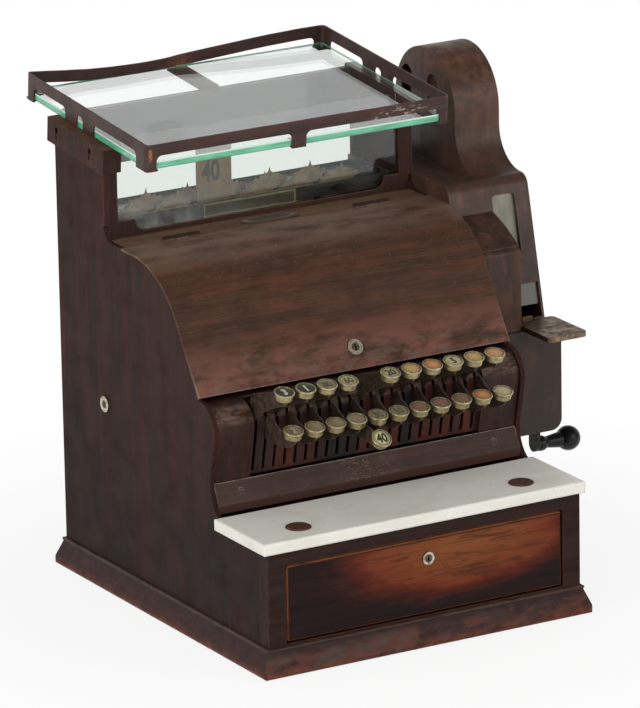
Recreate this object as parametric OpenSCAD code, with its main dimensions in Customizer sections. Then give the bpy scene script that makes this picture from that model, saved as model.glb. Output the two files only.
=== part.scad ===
// Ticket register: a counter-top cabinet with a cash drawer, a bank of ticket keys, a curved lid,
// a glazed indicator window, a glass shelf with a gallery rail and a receipt printer with a crank.
// Millimetres, +Z up, the front faces -Y. Pieces are drawn with Y = 0 at the front edge of the base
// moulding, and place() moves them so that the origin is the centre of the base's underside.

/* [Base moulding] */
// Width of the moulding, left to right
base_w = 400; // [380:1:430]
// Depth of the moulding, front to back
base_d = 461.5; // [440:0.5:500]
// Height of the moulding
base_h = 30.5; // [24:0.5:40]
// How far the moulding stands out past the cabinet
base_lip = 11; // [9:0.5:14]
// Width of the moulding's ring, lip included
ring_w = 25; // [20:1:32]
// Radius of the moulding's standing corners
base_corner = 6; // [3:0.5:8]

/* [Drawer case] */
// Height of the drawer case between the moulding and the marble
case_h = 101.5; // [90:0.5:120]
// Thickness of the face frame around the drawer
face_t = 18; // [12:0.5:22]
// Width of the face frame's upright stiles
stile_w = 21; // [16:0.5:26]
// Height of the face frame's top rail
top_rail = 14.5; // [12:0.5:20]
// Height of the face frame's bottom rail
low_rail = 2; // [1.5:0.5:5]
// Thickness of the case's roof board
roof_t = 13; // [8:0.5:14]

/* [Drawer] */
// Thickness of the drawer front
front_t = 18; // [12:0.5:20]
// Radius of the drawer front's worn edges
front_round = 3.5; // [1:0.5:5]
// Thickness of the drawer box's sides
box_wall = 8; // [5:0.5:10]
// Thickness of the drawer box's floor
box_floor = 6; // [4:0.5:8]
// Height of the drawer box
box_h = 72; // [55:1:76]
// Free space between the drawer box and the case's back
box_behind = 46; // [30:1:80]
// Height of the coin cups' partitions
cup_h = 34; // [20:1:50]
// Depth of the coin cups, front to back
cup_d = 120; // [80:1:160]
// Thickness of the partitions
partition_t = 4; // [3:0.5:6]
// Height of the drawer's runners
runner_h = 5; // [4:0.5:8]
// Width of the drawer's runners
runner_w = 12; // [8:1:20]

/* [Marble sill] */
// Thickness of the marble
marble_t = 13; // [10:0.5:18]
// How far the marble stands out past the face frame
marble_front = 4; // [2:0.5:10]
// How far the marble stands out past each side
marble_side = 6; // [3:0.5:10]
// Radius of the marble's edges
marble_round = 2.5; // [1:0.5:4]
// Diameter of the caps over the marble's screws
dome_d = 27; // [20:0.5:32]
// Height of those caps
dome_h = 1.8; // [1.2:0.1:3]
// Distance of those caps from the middle
dome_x = 135; // [110:1:160]

/* [Cabinet] */
// Thickness of the side panels
panel_t = 5; // [3:0.5:7]
// Thickness of the sheet steel
sheet_t = 2.5; // [1.5:0.1:3]
// Height of the sill behind the lid above the marble
front_h = 243; // [235:1:255]
// Depth of the sill from the lid's hinge to the window
sill_d = 38; // [34:1:46]
// Radius of the panels' fillet at the window's foot
foot_r = 16; // [10:1:20]
// Distance from the window's front to the cabinet's back
window_d = 103.5; // [100:0.5:115]
// Height of the window, from the sill to the shelf's plane
window_h = 102.5; // [90:0.5:115]

/* [Lid] */
// Thickness of the lid's sheet
lid_t = 2.5; // [2:0.1:3.5]
// Radius of the lid's bend
lid_r = 110; // [100:1:118]
// Angle of the bend
lid_bend = 58; // [54:1:60]
// Length of the straight part under the bend
lid_run = 84; // [78:1:90]
// Length of the flat part between the bend and the hinge
lid_flat = 24; // [22:0.5:30]
// Radius of the hinge barrels
barrel_r = 3.5; // [3:0.1:4]
// Diameter of the hinge pins
pin_d = 3; // [2:0.1:4]
// Distance of the hinges from the middle
hinge_x = 116.5; // [90:0.5:140]
// Length of one hinge knuckle
knuckle = 14.3; // [10:0.1:18]

/* [Locks] */
// Diameter of the lock faces on the lid and the side
lock_d = 17.5; // [15:0.5:20]
// Diameter of the drawer lock's face
drawer_lock_d = 14; // [12:0.5:16]
// Diameter of the turning plugs
plug_d = 9; // [7:0.5:10]
// How far a lock face stands proud
lock_proud = 1.5; // [0.8:0.1:2.5]
// Height of the lid lock up the lid's straight part
lid_lock_up = 23.7; // [18:0.1:40]
// Width of the key slots
slit_w = 1.4; // [1:0.1:2]

/* [Keyboard] */
// Radius of the nose above the keys
nose_r = 30; // [26:0.5:32]
// Lean of the face under the nose, in degrees
nose_lean = 12; // [8:0.5:14]
// Radius of the hollow at the foot
toe_r = 35; // [30:0.5:40]
// How far below its centre the hollow ends, in degrees
toe_turn = 54.2; // [45:0.1:60]
// How far the keyboard cover lies behind the panels' edges
cover_inset = 3.5; // [2:0.1:5]
// Distance of the ledge strip's screws from the middle
strip_screw_x = 154; // [148:0.5:158]
// How far the slotted plate lies behind the cover
rib_inset = 6; // [4:0.5:8]
// Width of the opening in the cover
opening_w = 279.4; // [279:0.1:300]
// How far the opening runs back over the nose's crest
opening_in = 3; // [0:0.5:6]
// Width of one lever slot
slot_w = 3.6; // [3:0.1:5]

/* [Keys] */
// Spacing of the levers
key_pitch = 12.7; // [12:0.1:12.8]
// Thickness of a lever
lever_t = 1.8; // [1.2:0.1:2.2]
// Height of a lever
lever_h = 7.5; // [6:0.1:8]
// Diameter of the shaft that the keys turn on
key_shaft_d = 8; // [6:0.1:10]
// Diameter of a lever's hub
hub_d = 16; // [14:0.1:18]
// Length of a lever's hub
hub_w = 10; // [8:0.1:11]
// Diameter of a key cap's rim
cap_d = 22; // [18:0.1:23]
// Height of the rim
rim_h = 1.6; // [1:0.1:2.5]
// How far the rim stands out over the cup
rim_lip = 1; // [0.6:0.1:1.5]
// Height of a key cap with its rim
cap_h = 9; // [7:0.1:11]
// How much the cup's radius shrinks towards its foot
cup_taper = 0.7; // [0.2:0.1:1.2]
// Size of the flat that breaks the cup's lower edge
foot_break = 0.8; // [0.4:0.1:1.2]
// Width of the rim round the face
face_rim = 1.5; // [1:0.1:2.5]
// Depth of the sunk face
face_sink = 0.8; // [0.4:0.1:1.2]
// Forward tilt of the caps at rest, in degrees
cap_tilt = 15; // [10:1:20]
// How far a key turns when it is pressed, in degrees
key_swing = 25; // [20:0.5:26]

/* [Works] */
// Distance of the cast side plates beyond the middle of the outermost key
works_side = 20.65; // [18:0.05:22]
// Thickness of the cast side plates
works_t = 8; // [6:0.5:10]
// Diameter of the tie rods
tie_d = 10; // [8:0.5:12]
// Diameter of the bell
bell_d = 70; // [50:1:80]
// Diameter of the main shaft
main_d = 14; // [12:0.1:16]
// Distance of the main shaft from the cabinet's back
main_in = 180.5; // [176:0.5:184]
// How far the main shaft lies below the keys' shaft
main_low = 11; // [9:0.5:13]
// Radius of the gear on the main shaft
gear_r = 26; // [20:0.5:27]
// Number of teeth on that gear
gear_teeth = 24; // [16:1:32]
// How far right of the middle the gear sits
gear_x = 100; // [80:1:120]
// How far the tie rods lie inside the side frames' rear edge
tie_in = 14; // [10:1:20]
// How far the bell and its tie rod hang below the sill
bell_drop = 54; // [50:1:60]
// Width of the gear and the cams
gear_w = 8; // [5:0.5:12]

/* [Window and flags] */
// Width of the window's posts
post_w = 17; // [14:0.5:20]
// Thickness of the posts
post_t = 2.7; // [2:0.1:3]
// Thickness of the panes
pane_t = 3; // [2:0.1:4]
// Length of the long bare plate behind the window's foot
plate_l = 113.2; // [100:0.1:120]
// How far the plate's middle lies right of the case's
plate_x = -9.1; // [-20:0.1:20]
// Height of the header over the rear window
header_h = 58; // [45:1:65]
// Depth of a post's sloping cap, front to back
head_l = 123; // [120:0.5:130]
// Height of a post's sloping cap
head_h = 27; // [22:0.5:32]
// How far the sloping caps stand out past the panels
head_side = 5; // [4:0.5:6]
// Thickness of the sloping caps' sheet
head_t = 2; // [1.5:0.1:2.5]
// Slope of the shelf down to the front, in degrees
shelf_tilt = 5; // [3:0.5:6]
// Width of a price flag
flag_w = 43; // [36:0.5:46]
// Thickness of a price flag
flag_t = 1.2; // [0.8:0.1:1.6]
// Height that a price flag shows when it is up
flag_show = 60; // [50:0.5:64]
// How far a price flag is lifted
flag_lift = 48; // [40:0.5:52]
// Distance between two rows of flags
flag_row = 12; // [10:0.5:14]
// Height of the trough's floor above the sill
trough_up = 8; // [6:0.5:10]

/* [Shelf] */
// Width of the glass shelf
shelf_w = 363.6; // [350:0.2:380]
// Depth of the glass shelf
shelf_d = 262; // [250:0.5:275]
// Thickness of the glass shelf
shelf_t = 8; // [6:0.5:10]
// How far the shelf reaches in front of the window
shelf_front = 87.5; // [80:0.5:95]
// Thickness of the gallery's sheet
rail_t = 2; // [1.5:0.1:3]
// Height of the gallery's openings above the shelf's plane
rail_low = 15; // [12:0.5:18]
// Height of the gallery's top band
rail_h = 12.7; // [9:0.1:16]
// Width of the arm that carries the shelf behind the cabinet
shelf_arm_w = 24; // [20:0.5:28]
// Radius of the gallery's arches
arch_r = 6.5; // [4:0.5:8]

/* [Printer] */
// How far the pale backing starts above the ledge
pale_low = 15; // [12:1:18]
// How far it ends below the shoulder
pale_top = 12; // [10:1:15]
// Distance of the tray's hook from its left end
hook_x = 8; // [6:0.5:10]
// Width of the printer case
printer_w = 99.6; // [96:0.1:105]
// Width of the hood at its right-hand side
hood_w = 56; // [52:0.5:60]
// Radius of the hood
drum_r = 62; // [58:0.5:66]
// Radius of the hollow under the hood
neck_r = 44; // [40:0.5:48]
// Radius of the shoulder
shoulder_r = 14; // [10:0.5:18]
// Height of the hood's centre above the shoulder's top
drum_up = 62; // [56:0.5:70]
// Lean of the printer's front, in degrees
printer_lean = 12.7; // [10:0.1:15]
// Height of the case's underside above the base
printer_z = 135; // [125:0.5:145]
// Height of the printer's ledge above the case's underside
ledge_h = 117; // [110:0.5:125]
// Distance from the printer's front to its back
printer_d = 247; // [240:0.5:255]
// Radius of the case's lower right corner
printer_corner = 13; // [8:0.5:18]
// Thickness of the case's sheet
case_t = 3; // [2:0.1:3.5]
// Diameter of the full paper roll
roll_d = 80; // [50:1:100]
// Width of the paper roll
roll_w = 46; // [40:0.5:48]
// Diameter of the paper roll's spindle
spindle_d = 8; // [6:0.1:12]
// Width of the receipt tray
tray_w = 49; // [44:0.5:52]
// Depth of the receipt tray
tray_d = 71; // [60:0.5:80]
// How far the tray reaches in under the printer
tray_in = 18; // [14:0.5:22]
// Height of the receipt tray
tray_h = 5.5; // [4:0.1:8]

/* [Crank] */
// Thickness of the crank's arm
arm_t = 5; // [4:0.5:8]
// Width of the crank's arm
arm_w = 16; // [15:0.5:20]
// Distance between the crank's shaft and its knob
crank_r = 91.6; // [80:0.1:110]
// Diameter of the knob
knob_d = 27.6; // [24:0.1:32]
// Length of the knob
knob_l = 52; // [46:0.5:60]
// Diameter of the knob's spindle
knob_pin_d = 6; // [5:0.1:8]

/* [Clearances] */
// Radial clearance of a running fit
run_gap = 0.05; // [0.02:0.01:0.09]
// Gap where one piece rests on another
rest_gap = 0.3; // [0.2:0.05:0.4]
// Gap around a piece that moves past another
free_gap = 1.5; // [1:0.1:2]
// Gap around the drawer's front
drawer_gap = 1.5; // [1:0.1:2]

/* [Hidden] */
$fn = 48;
cab_x = base_w / 2 - base_lip;              // outer face of the side panels
cab_in = cab_x - panel_t;                   // inner face of the side panels
cab_front = base_lip;
cab_back = base_d - base_lip;
face_back = cab_front + face_t;
ledge_z = base_h + case_h;                  // top of the drawer case
marble_top = ledge_z + marble_t;
sill_z = marble_top + front_h;              // sill behind the lid
window_y = cab_back - window_d;
hinge_y = window_y - sill_d;
hinge_z = sill_z + pin_d / 2;
head_z = sill_z + window_h;                 // shelf's plane at the window

// Lid, from the hinge down: flat, bend centre, start and end of the straight part.
bend_c = [hinge_y - lid_flat, sill_z - lid_r];
run_top = bend_c + lid_r * [-sin(lid_bend), cos(lid_bend)];
run_end = run_top - lid_run * [cos(lid_bend), sin(lid_bend)];

// Keyboard front, from the lid's edge down: nose, leaning face, hollow toe.
lean_out = [-cos(nose_lean), -sin(nose_lean)];
nose = [run_end.x, run_end.y - lid_t - 2 * rest_gap - nose_r];
face_top = nose + nose_r * lean_out;
toe_z = marble_top + toe_r * sin(toe_turn);
face_run = (face_top.y - toe_z - toe_r * sin(nose_lean)) / cos(nose_lean);
face_end = face_top + face_run * [sin(nose_lean), -cos(nose_lean)];
toe = face_end + toe_r * lean_out;
toe_c = [face_end.x - toe_r * cos(nose_lean), toe_z];
toe_y = toe_c.x + toe_r * cos(toe_turn);
marble_back = toe_y - 2 * rest_gap - 1;

// Keys: the shaft behind the nose, and each row's cap, arm and fin, measured from the shaft.
key_count = 22;
pressed_key = 8;
shaft = [nose.x + 45, nose.y - 31];
upper_cap = [-126, 83];
lower_cap = [-121, 38];
upper_arm = [-58, 42];
lower_arm = [-64, 20];
upper_fin = [[-52, 33], [-54, 50], [-58, 62], [-64, 65.4], [-105, 77.7], [-118, 79], [-130, 75.5],
             [-131.5, 72.5], [-128, 68], [-110, 62], [-87, 52], [-73, 45], [-64, 36]];
lower_fin = [[-56, 16], [-60, 33], [-73, 43], [-85, 35.5], [-95, 31], [-108, 34], [-116, 35],
             [-127, 28], [-124, 23.5], [-114.5, 18], [-106, 15], [-98, 13.5], [-87, 13], [-70, 13]];
key_tail = [43, -3];
function key_x(i) = (i - (key_count - 1) / 2) * key_pitch;
opening_z = face_end.y - 2.5;

// Drawer.
drawer_x = cab_x - stile_w;                 // opening of the face frame
drawer_z0 = base_h + low_rail;
drawer_z1 = ledge_z - top_rail;
box_z = base_h + runner_h + rest_gap;
box_back = cab_back - panel_t - box_behind;
box_x = drawer_x - 2 * drawer_gap - box_wall / 2;
case_back = cab_back - sheet_t - rest_gap;

// Works and crank.
works_front = nose.x + 24;
works_back = hinge_y + 12;
works_x = key_x(key_count - 1) + works_side;  // cast side plates from the middle
main = [cab_back - main_in, shaft.y - main_low];    // main shaft's axis

// Flags.
flag_y = window_y + 42;
trough_z = sill_z + trough_up;
trough_front = window_y + 6;

// Printer.
px0 = cab_x + rest_gap;
px1 = px0 + printer_w;
hood_x = px1 - hood_w;
drum = [cab_back - drum_r, printer_z + ledge_h + 153 + drum_up];
shoulder_z = drum.y - drum_up;
neck = [drum.x - drum_r - neck_r, shoulder_z + neck_r];
shoulder = [neck.x, shoulder_z - shoulder_r];
ledge_top = printer_z + ledge_h;
printer_y = cab_back - printer_d;
lean = [-cos(printer_lean), sin(printer_lean)];
function front_y(z, q) = shoulder.x + (shoulder_r - q) * lean.x
  - (shoulder.y + (shoulder_r - q) * lean.y - z) * tan(printer_lean);
tray_y = printer_y + tray_in - tray_d;

// ---- Helpers ----

module place() translate([0, -base_d / 2, 0]) children();

// A (y, z) outline drawn out along X, and an (x, z) outline drawn out along Y.
module along_x(x0, x1) translate([x0, 0, 0]) rotate([90, 0, 90]) linear_extrude(x1 - x0) children();
module along_y(y0, y1) translate([0, y1, 0]) rotate([90, 0, 0]) linear_extrude(y1 - y0) children();
module rod_x(x0, x1, d, at) translate([x0, at.x, at.y]) rotate([0, 90, 0]) cylinder(h = x1 - x0, d = d);
module both_sides() { children(); mirror([1, 0, 0]) children(); }

module box(x0, x1, y0, y1, z0, z1) translate([x0, y0, z0]) cube([x1 - x0, y1 - y0, z1 - z0]);

module rounded_rect(x0, x1, y0, y1, r) {
  translate([x0 + r, y0]) square([x1 - x0 - 2 * r, y1 - y0]);
  translate([x0, y0 + r]) square([x1 - x0, y1 - y0 - 2 * r]);
  for (x = [x0 + r, x1 - r], y = [y0 + r, y1 - r]) translate([x, y]) circle(r);
}

// A slab with its edges rounded on all three pairs of sides.
module worn_slab(x0, x1, y0, y1, z0, z1, r) intersection() {
  along_x(x0, x1) rounded_rect(y0, y1, z0, z1, r);
  along_y(y0, y1) rounded_rect(x0, x1, z0, z1, r);
  translate([0, 0, z0]) linear_extrude(z1 - z0) rounded_rect(x0, x1, y0, y1, r);
}

// A bar of width w through a list of points, with round joints.
module bar_path(p, w) for (i = [0:len(p) - 2]) {
  d = p[i + 1] - p[i];
  translate(p[i]) circle(d = w);
  translate(p[i + 1]) circle(d = w);
  translate(p[i]) rotate(atan2(d.y, d.x)) translate([0, -w / 2]) square([norm(d), w]);
}

// ---- Base and drawer case ----

// Right half of the moulding's cross-section: a bead, a step, a sloping face and a round foot.
module moulding_side(half) {
  bead_r = 1.9;
  foot = 4;
  slope = 21.8;
  translate([half - foot, foot]) circle(foot);
  translate([half - base_lip + 1.5, base_h - bead_r]) circle(bead_r);
  polygon([[0, 0], [half - foot, 0], [half - foot, foot],
           [half - foot + foot * cos(slope), foot + foot * sin(slope)],
           [half - base_lip + 2.6, base_h - 2 * bead_r - 0.7], [half - base_lip + 2.6, base_h - bead_r],
           [half - base_lip + 1.5, base_h], [0, base_h]]);
}

module moulding_section(half) { moulding_side(half); mirror([1, 0]) moulding_side(half); }

module base_moulding() color("#4a2417") place() difference() {
  intersection() {
    translate([0, base_d / 2, 0]) along_x(-base_w / 2, base_w / 2) moulding_section(base_d / 2);
    along_y(0, base_d) moulding_section(base_w / 2);
    linear_extrude(base_h) rounded_rect(-base_w / 2, base_w / 2, 0, base_d, base_corner);
  }
  box(-base_w / 2 + ring_w, base_w / 2 - ring_w, ring_w, base_d - ring_w, -1, base_h + 1);
}

module drawer_case() color("#3c2016") place() {
  inside = base_w / 2 - ring_w - rest_gap;
  box(-inside, inside, ring_w + rest_gap, base_d - ring_w - rest_gap, 0, base_h);
  both_sides() box(drawer_x, cab_in - rest_gap, face_back, case_back, base_h, ledge_z);
  box(-cab_in + rest_gap, cab_in - rest_gap, face_back, case_back, ledge_z - roof_t, ledge_z);
  difference() {
    box(-cab_x, cab_x, cab_front, face_back, base_h, ledge_z);
    box(-drawer_x, drawer_x, cab_front - 1, face_back + 1, drawer_z0, drawer_z1);
  }
}

module drawer_runners() color("#5a3a24") place() both_sides()
  box(box_x - 4 - runner_w, box_x - 4, face_back + 11, box_back + 40, base_h, base_h + runner_h);

// ---- Drawer ----

module drawer_front() color("#8a4420") place() difference() {
  worn_slab(-drawer_x + drawer_gap, drawer_x - drawer_gap, cab_front, cab_front + front_t,
            drawer_z0 + drawer_gap, drawer_z1 - drawer_gap, front_round);
  drawer_lock_place() translate([0, 0, -front_t - 1])
    cylinder(h = front_t + 2, d = drawer_lock_d - 3 + 2 * run_gap);
}

// Five coin cups in front, four note wells behind them.
module drawer_box() color("#7a5a3a") place() difference() {
  inner = box_x - box_wall;
  y0 = cab_front + front_t;
  in_y0 = y0 + box_wall;
  in_y1 = box_back - box_wall;
  cups_y1 = in_y0 + cup_d;
  cup_w = (2 * inner - 4 * partition_t) / 5;
  well_w = (2 * inner - 3 * partition_t) / 4;
  box(-box_x, box_x, y0, box_back, box_z, box_z + box_h);
  box(-inner, inner, in_y0, in_y1, box_z + box_floor + cup_h, box_z + box_h + 1);
  for (i = [0:4])
    box(-inner + i * (cup_w + partition_t), -inner + i * (cup_w + partition_t) + cup_w,
        in_y0, cups_y1, box_z + box_floor, box_z + box_h + 1);
  for (i = [0:3])
    box(-inner + i * (well_w + partition_t), -inner + i * (well_w + partition_t) + well_w,
        cups_y1 + partition_t, in_y1, box_z + box_floor, box_z + box_h + 1);
}

// A lock is a flanged barrel along -Z with a round plug in its bore. Z = 0 is the face it sits on.
module lock_barrel(flange_d, depth) difference() {
  union() {
    translate([0, 0, 0]) cylinder(h = lock_proud, d = flange_d);
    translate([0, 0, -depth]) cylinder(h = depth + lock_proud, d = flange_d - 3);
  }
  translate([0, 0, -depth + 3]) cylinder(h = depth + lock_proud, d = plug_d + 2 * run_gap);
}

module lock_plug(depth) difference() {
  translate([0, 0, -depth + 3 + rest_gap]) cylinder(h = depth - 3 - rest_gap + lock_proud, d = plug_d);
  translate([-slit_w / 2, -plug_d * 0.34, lock_proud - 3]) cube([slit_w, plug_d * 0.68, 4]);
}

module drawer_lock_place() translate([2.7, cab_front, drawer_z1 - 23.2]) rotate([90, 0, 0]) children();
module drawer_lock() color("#b9b09a") place() drawer_lock_place() lock_barrel(drawer_lock_d, front_t - 1);
module drawer_lock_plug() color("#8f8775") place() drawer_lock_place() lock_plug(front_t - 1);

// ---- Marble ----

module marble_sill() color("#e4e2dc") place()
  worn_slab(-cab_x - marble_side, cab_x + marble_side, cab_front - marble_front, marble_back,
            ledge_z, marble_top, marble_round);

module marble_caps() color("#4b2a20") place() both_sides()
  translate([dome_x, cab_front + 29, marble_top]) {
    cylinder(h = dome_h / 2, d = dome_d);
    translate([0, 0, dome_h / 2]) cylinder(h = dome_h / 2, d1 = dome_d, d2 = dome_d - 3);
  }

// ---- Cabinet panels ----

// Region behind the keyboard's ogee front, q millimetres inside the panels' edges.
module ogee_2d(q) difference() {
  union() {
    polygon([[toe_c.x + (toe_r + q) * cos(toe_turn), marble_top], [cab_back, marble_top],
             [cab_back, nose.y + nose_r - q], [nose.x, nose.y + nose_r - q], nose,
             face_top - q * lean_out, face_end - q * lean_out]);
    translate(nose) circle(nose_r - q);
  }
  translate(toe_c) circle(toe_r + q);
}

// Region under the lid, q millimetres inside the lid's outer face.
lid_in = [sin(lid_bend), -cos(lid_bend)];
module under_lid_2d(q) {
  translate(bend_c) circle(lid_r - q);
  polygon([[run_end.x + q * lid_in.x, nose.y], run_end + q * lid_in, run_top + q * lid_in, bend_c,
           [bend_c.x, sill_z - q], [hinge_y, sill_z - q], [hinge_y, nose.y]]);
}

// Points on an arc about c, from angle a0 to a1, in steps of about 3 degrees.
function arc(c, r, a0, a1) = let (n = ceil(abs(a1 - a0) / 3))
  [for (i = [0:n]) c + r * [cos(a0 + (a1 - a0) * i / n), sin(a0 + (a1 - a0) * i / n)]];

// Side outline, from the drawer case up the front, over the lid's seat and down the back.
module panel(x0, x1) {
  q = lid_t + rest_gap;
  top = head_z - (head_t + rest_gap) / cos(shelf_tilt);
  step = hinge_y + rest_gap;
  along_x(x0, x1) polygon(concat(
    [[face_back + rest_gap, base_h], [face_back + rest_gap, ledge_z], [marble_back + rest_gap, ledge_z],
     [marble_back + rest_gap, marble_top]],
    arc(toe_c, toe_r, -toe_turn, nose_lean),
    arc(nose, nose_r, 180 + nose_lean, 90),
    [[run_end.x + q * lid_in.x, nose.y + nose_r], run_end + q * lid_in],
    arc(bend_c, lid_r - q, 90 + lid_bend, 90),
    [[step, sill_z - q], [step, sill_z]],
    arc([window_y - foot_r, sill_z + foot_r], foot_r, -90, 0),
    [[window_y, top], [cab_back, top + window_d * tan(shelf_tilt)], [cab_back, base_h]]));
}

module side_lock_place() translate([-cab_x, cab_back - 97.5, marble_top + 61]) rotate([0, -90, 0])
  rotate([0, 0, 90]) children();

module left_side_panel() color("#40231a") place() difference() {
  panel(-cab_x, -cab_in);
  side_lock_place() translate([0, 0, -panel_t - 1])
    cylinder(h = panel_t + 2, d = lock_d - 3 + 2 * run_gap);
}

module right_side_panel() color("#40231a") place() difference() {
  panel(cab_in, cab_x);
  rod_x(cab_in - 1, cab_x + 1, main_d + 2 * free_gap, main);
}

module side_lock() color("#b9b09a") place() side_lock_place() lock_barrel(lock_d, 20);
module side_lock_plug() color("#8f8775") place() side_lock_place() lock_plug(20);

module back_panel() color("#3a2018") place()
  box(-cab_in + rest_gap, cab_in - rest_gap, cab_back - sheet_t, cab_back, base_h,
      trough_z - sheet_t - rest_gap);

// ---- Keyboard cover ----

// Sheet of thickness sheet_t at inset q.
module ogee_sheet(q) difference() { ogee_2d(q); ogee_2d(q + sheet_t); }

module keyboard_cover() color("#38201a") place() {
  x1 = cab_in - rest_gap;
  back = nose.x + 18;
  rib_q = cover_inset + rib_inset;
  rib_x = opening_w / 2 + 3;
  half = opening_w / 2;
  difference() {
    along_x(-x1, x1) intersection() {
      ogee_sheet(cover_inset);
      translate([0, opening_z - 2]) square([back, front_h]);
    }
    box(-half, half, 0, nose.x + opening_in, opening_z - 20, nose.y + nose_r + 1);
  }
  difference() {
    along_x(-rib_x, rib_x) intersection() {
      ogee_sheet(rib_q);
      translate([0, opening_z - 2]) square([back, front_h]);
    }
    for (i = [0:key_count - 1])
      box(key_x(i) - slot_w / 2, key_x(i) + slot_w / 2, 0, nose.x + 10, opening_z + 2, sill_z);
  }
  both_sides() along_x(half, rib_x) intersection() {
    difference() { ogee_2d(cover_inset + sheet_t); ogee_2d(rib_q); }
    translate([0, opening_z - 2]) square([back, front_h]);
  }
}

// Sloping strip under the keys with an upright skirt and two small screws.
module ledge_strip() color("#38201a") place() {
  top = [face_end.x + 2.8, opening_z - 2 - rest_gap];
  bend = [toe_y + 5.4, marble_top + 9];
  x1 = cab_in - rest_gap;
  along_x(-x1, x1)
    polygon([top, bend, [bend.x, marble_top + rest_gap], [bend.x + sheet_t, marble_top + rest_gap],
             [bend.x + sheet_t, bend.y - 0.8], [top.x + sheet_t * 0.9, top.y - sheet_t * 0.45 - 0.1]]);
  for (s = [-1, 1]) translate([s * strip_screw_x, (top.x + bend.x) / 2, (top.y + bend.y) / 2])
    rotate([atan2(top.y - bend.y, top.x - bend.x), 0, 0]) translate([0, 0, -1]) difference() {
      cylinder(h = 2.2, d = 7);
      translate([-4, -0.5, 1.4]) cube([8, 1, 2]);
    }
}

// ---- Keys ----

// Half section of a key cap, about its own axis: a cup with a lipped rim and a sunk face.
module cap_section() {
  cup = cap_d / 2 - rim_lip;
  foot = cup - cup_taper;
  face = cap_d / 2 - face_rim;
  polygon([[0, -cap_h], [foot - foot_break, -cap_h], [foot, foot_break - cap_h], [cup, -rim_h],
           [cap_d / 2, 0.3 - rim_h], [cap_d / 2, -0.5], [cap_d / 2 - 0.5, 0], [face, 0],
           [face, -face_sink], [0, -face_sink]]);
}

// One lever key with its hub, arm, fin and cap, raised as at rest.
module raised_key(cap, arm, fin) {
  along_x(-lever_t / 2, lever_t / 2) difference() {
    union() {
      bar_path([key_tail, [0, 0], arm], lever_h);
      polygon(fin);
    }
    circle(d = key_shaft_d + 2 * run_gap);
  }
  difference() {
    rod_x(-hub_w / 2, hub_w / 2, hub_d, [0, 0]);
    rod_x(-hub_w, hub_w, key_shaft_d + 2 * run_gap, [0, 0]);
  }
  translate([0, cap.x, cap.y]) rotate([cap_tilt, 0, 0]) rotate_extrude() cap_section();
}

module ticket_key(i) color(i == pressed_key ? "#d8d6b0" : "#b8a880") place()
  translate([key_x(i), shaft.x, shaft.y]) rotate([i == pressed_key ? key_swing : 0, 0, 0])
    if (i % 2 == 0) raised_key(upper_cap, upper_arm, upper_fin);
    else raised_key(lower_cap, lower_arm, lower_fin);

module key_shaft() color("#77716a") place() rod_x(-works_x - works_t, works_x + works_t, key_shaft_d, shaft);

// ---- Works ----

module works_plate_2d() difference() {
  polygon([[works_front, ledge_z], [works_back, ledge_z], [works_back, sill_z - 40],
           [works_back - 50, sill_z - 40], [works_front + 30, shaft.y + 60], [works_front, shaft.y + 20]]);
  translate(shaft) circle(d = key_shaft_d + 2 * run_gap);
  translate(main) circle(d = main_d + 2 * run_gap);
  translate([works_front + 62, shaft.y + 62]) circle(22);
  translate([works_back - 40, sill_z - 84]) circle(18);
  translate([works_front + 38, ledge_z + 24]) circle(12);
}

module works_frame() color("#4a4642") place() {
  ties = [
    [works_front + tie_in, ledge_z + tie_in],
    [works_back - tie_in, ledge_z + tie_in],
    [works_back - tie_in, sill_z - bell_drop],
  ];
  for (s = [-1, 1]) along_x(s * works_x - works_t / 2, s * works_x + works_t / 2) works_plate_2d();
  for (t = ties) rod_x(-works_x, works_x, tie_d, t);
  bell = [0.6 * gear_x, works_back - tie_in, sill_z - bell_drop];
  translate(bell) rotate([90, 0, 0]) difference() {
    union() {
      translate([0, 0, tie_d / 2 + 1]) cylinder(h = bell_d * 0.28, r1 = bell_d * 0.2, r2 = bell_d / 2);
      translate([0, 0, 0]) cylinder(h = tie_d / 2 + 2, d = 9);
    }
    translate([0, 0, tie_d / 2 + 4]) cylinder(h = bell_d * 0.28, r1 = bell_d * 0.2 - 2, r2 = bell_d / 2);
  }
}

// Crankshaft with a gear and three cams inside the cabinet.
module main_shaft() color("#77716a") place() {
  rod_x(-works_x - works_t, px1 + rest_gap + arm_t, main_d, main);
  translate([gear_x, main.x, main.y]) rotate([0, 90, 0]) {
    cylinder(h = gear_w, r = gear_r - 3);
    for (a = [0:gear_teeth - 1]) rotate([0, 0, a * 360 / gear_teeth])
      translate([gear_r - 5, -1.7, 0]) cube([5, 3.4, gear_w]);
  }
  for (x = [-1, -0.3, 0.4] * gear_x) translate([x, main.x, main.y]) rotate([0, 90, 0])
    translate([4, 0, 0]) cylinder(h = gear_w, r = gear_r - 6);
}

// ---- Hinge strip and lid ----

hinge_starts = [for (s = [-1, 1], k = [0:2]) [s * hinge_x + (k - 1.5) * knuckle, k]];

module barrels(on_lid) for (h = hinge_starts) if ((h[1] == 1) == on_lid)
  rod_x(h[0] + 0.3, h[0] + knuckle - 0.3, 2 * barrel_r, [hinge_y, hinge_z]);

module barrel_clear(on_lid, y0, y1) for (h = hinge_starts) if ((h[1] == 1) == on_lid)
  box(h[0] - 0.3, h[0] + knuckle + 0.3, y0, y1, sill_z - 20, sill_z + 10);

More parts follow.
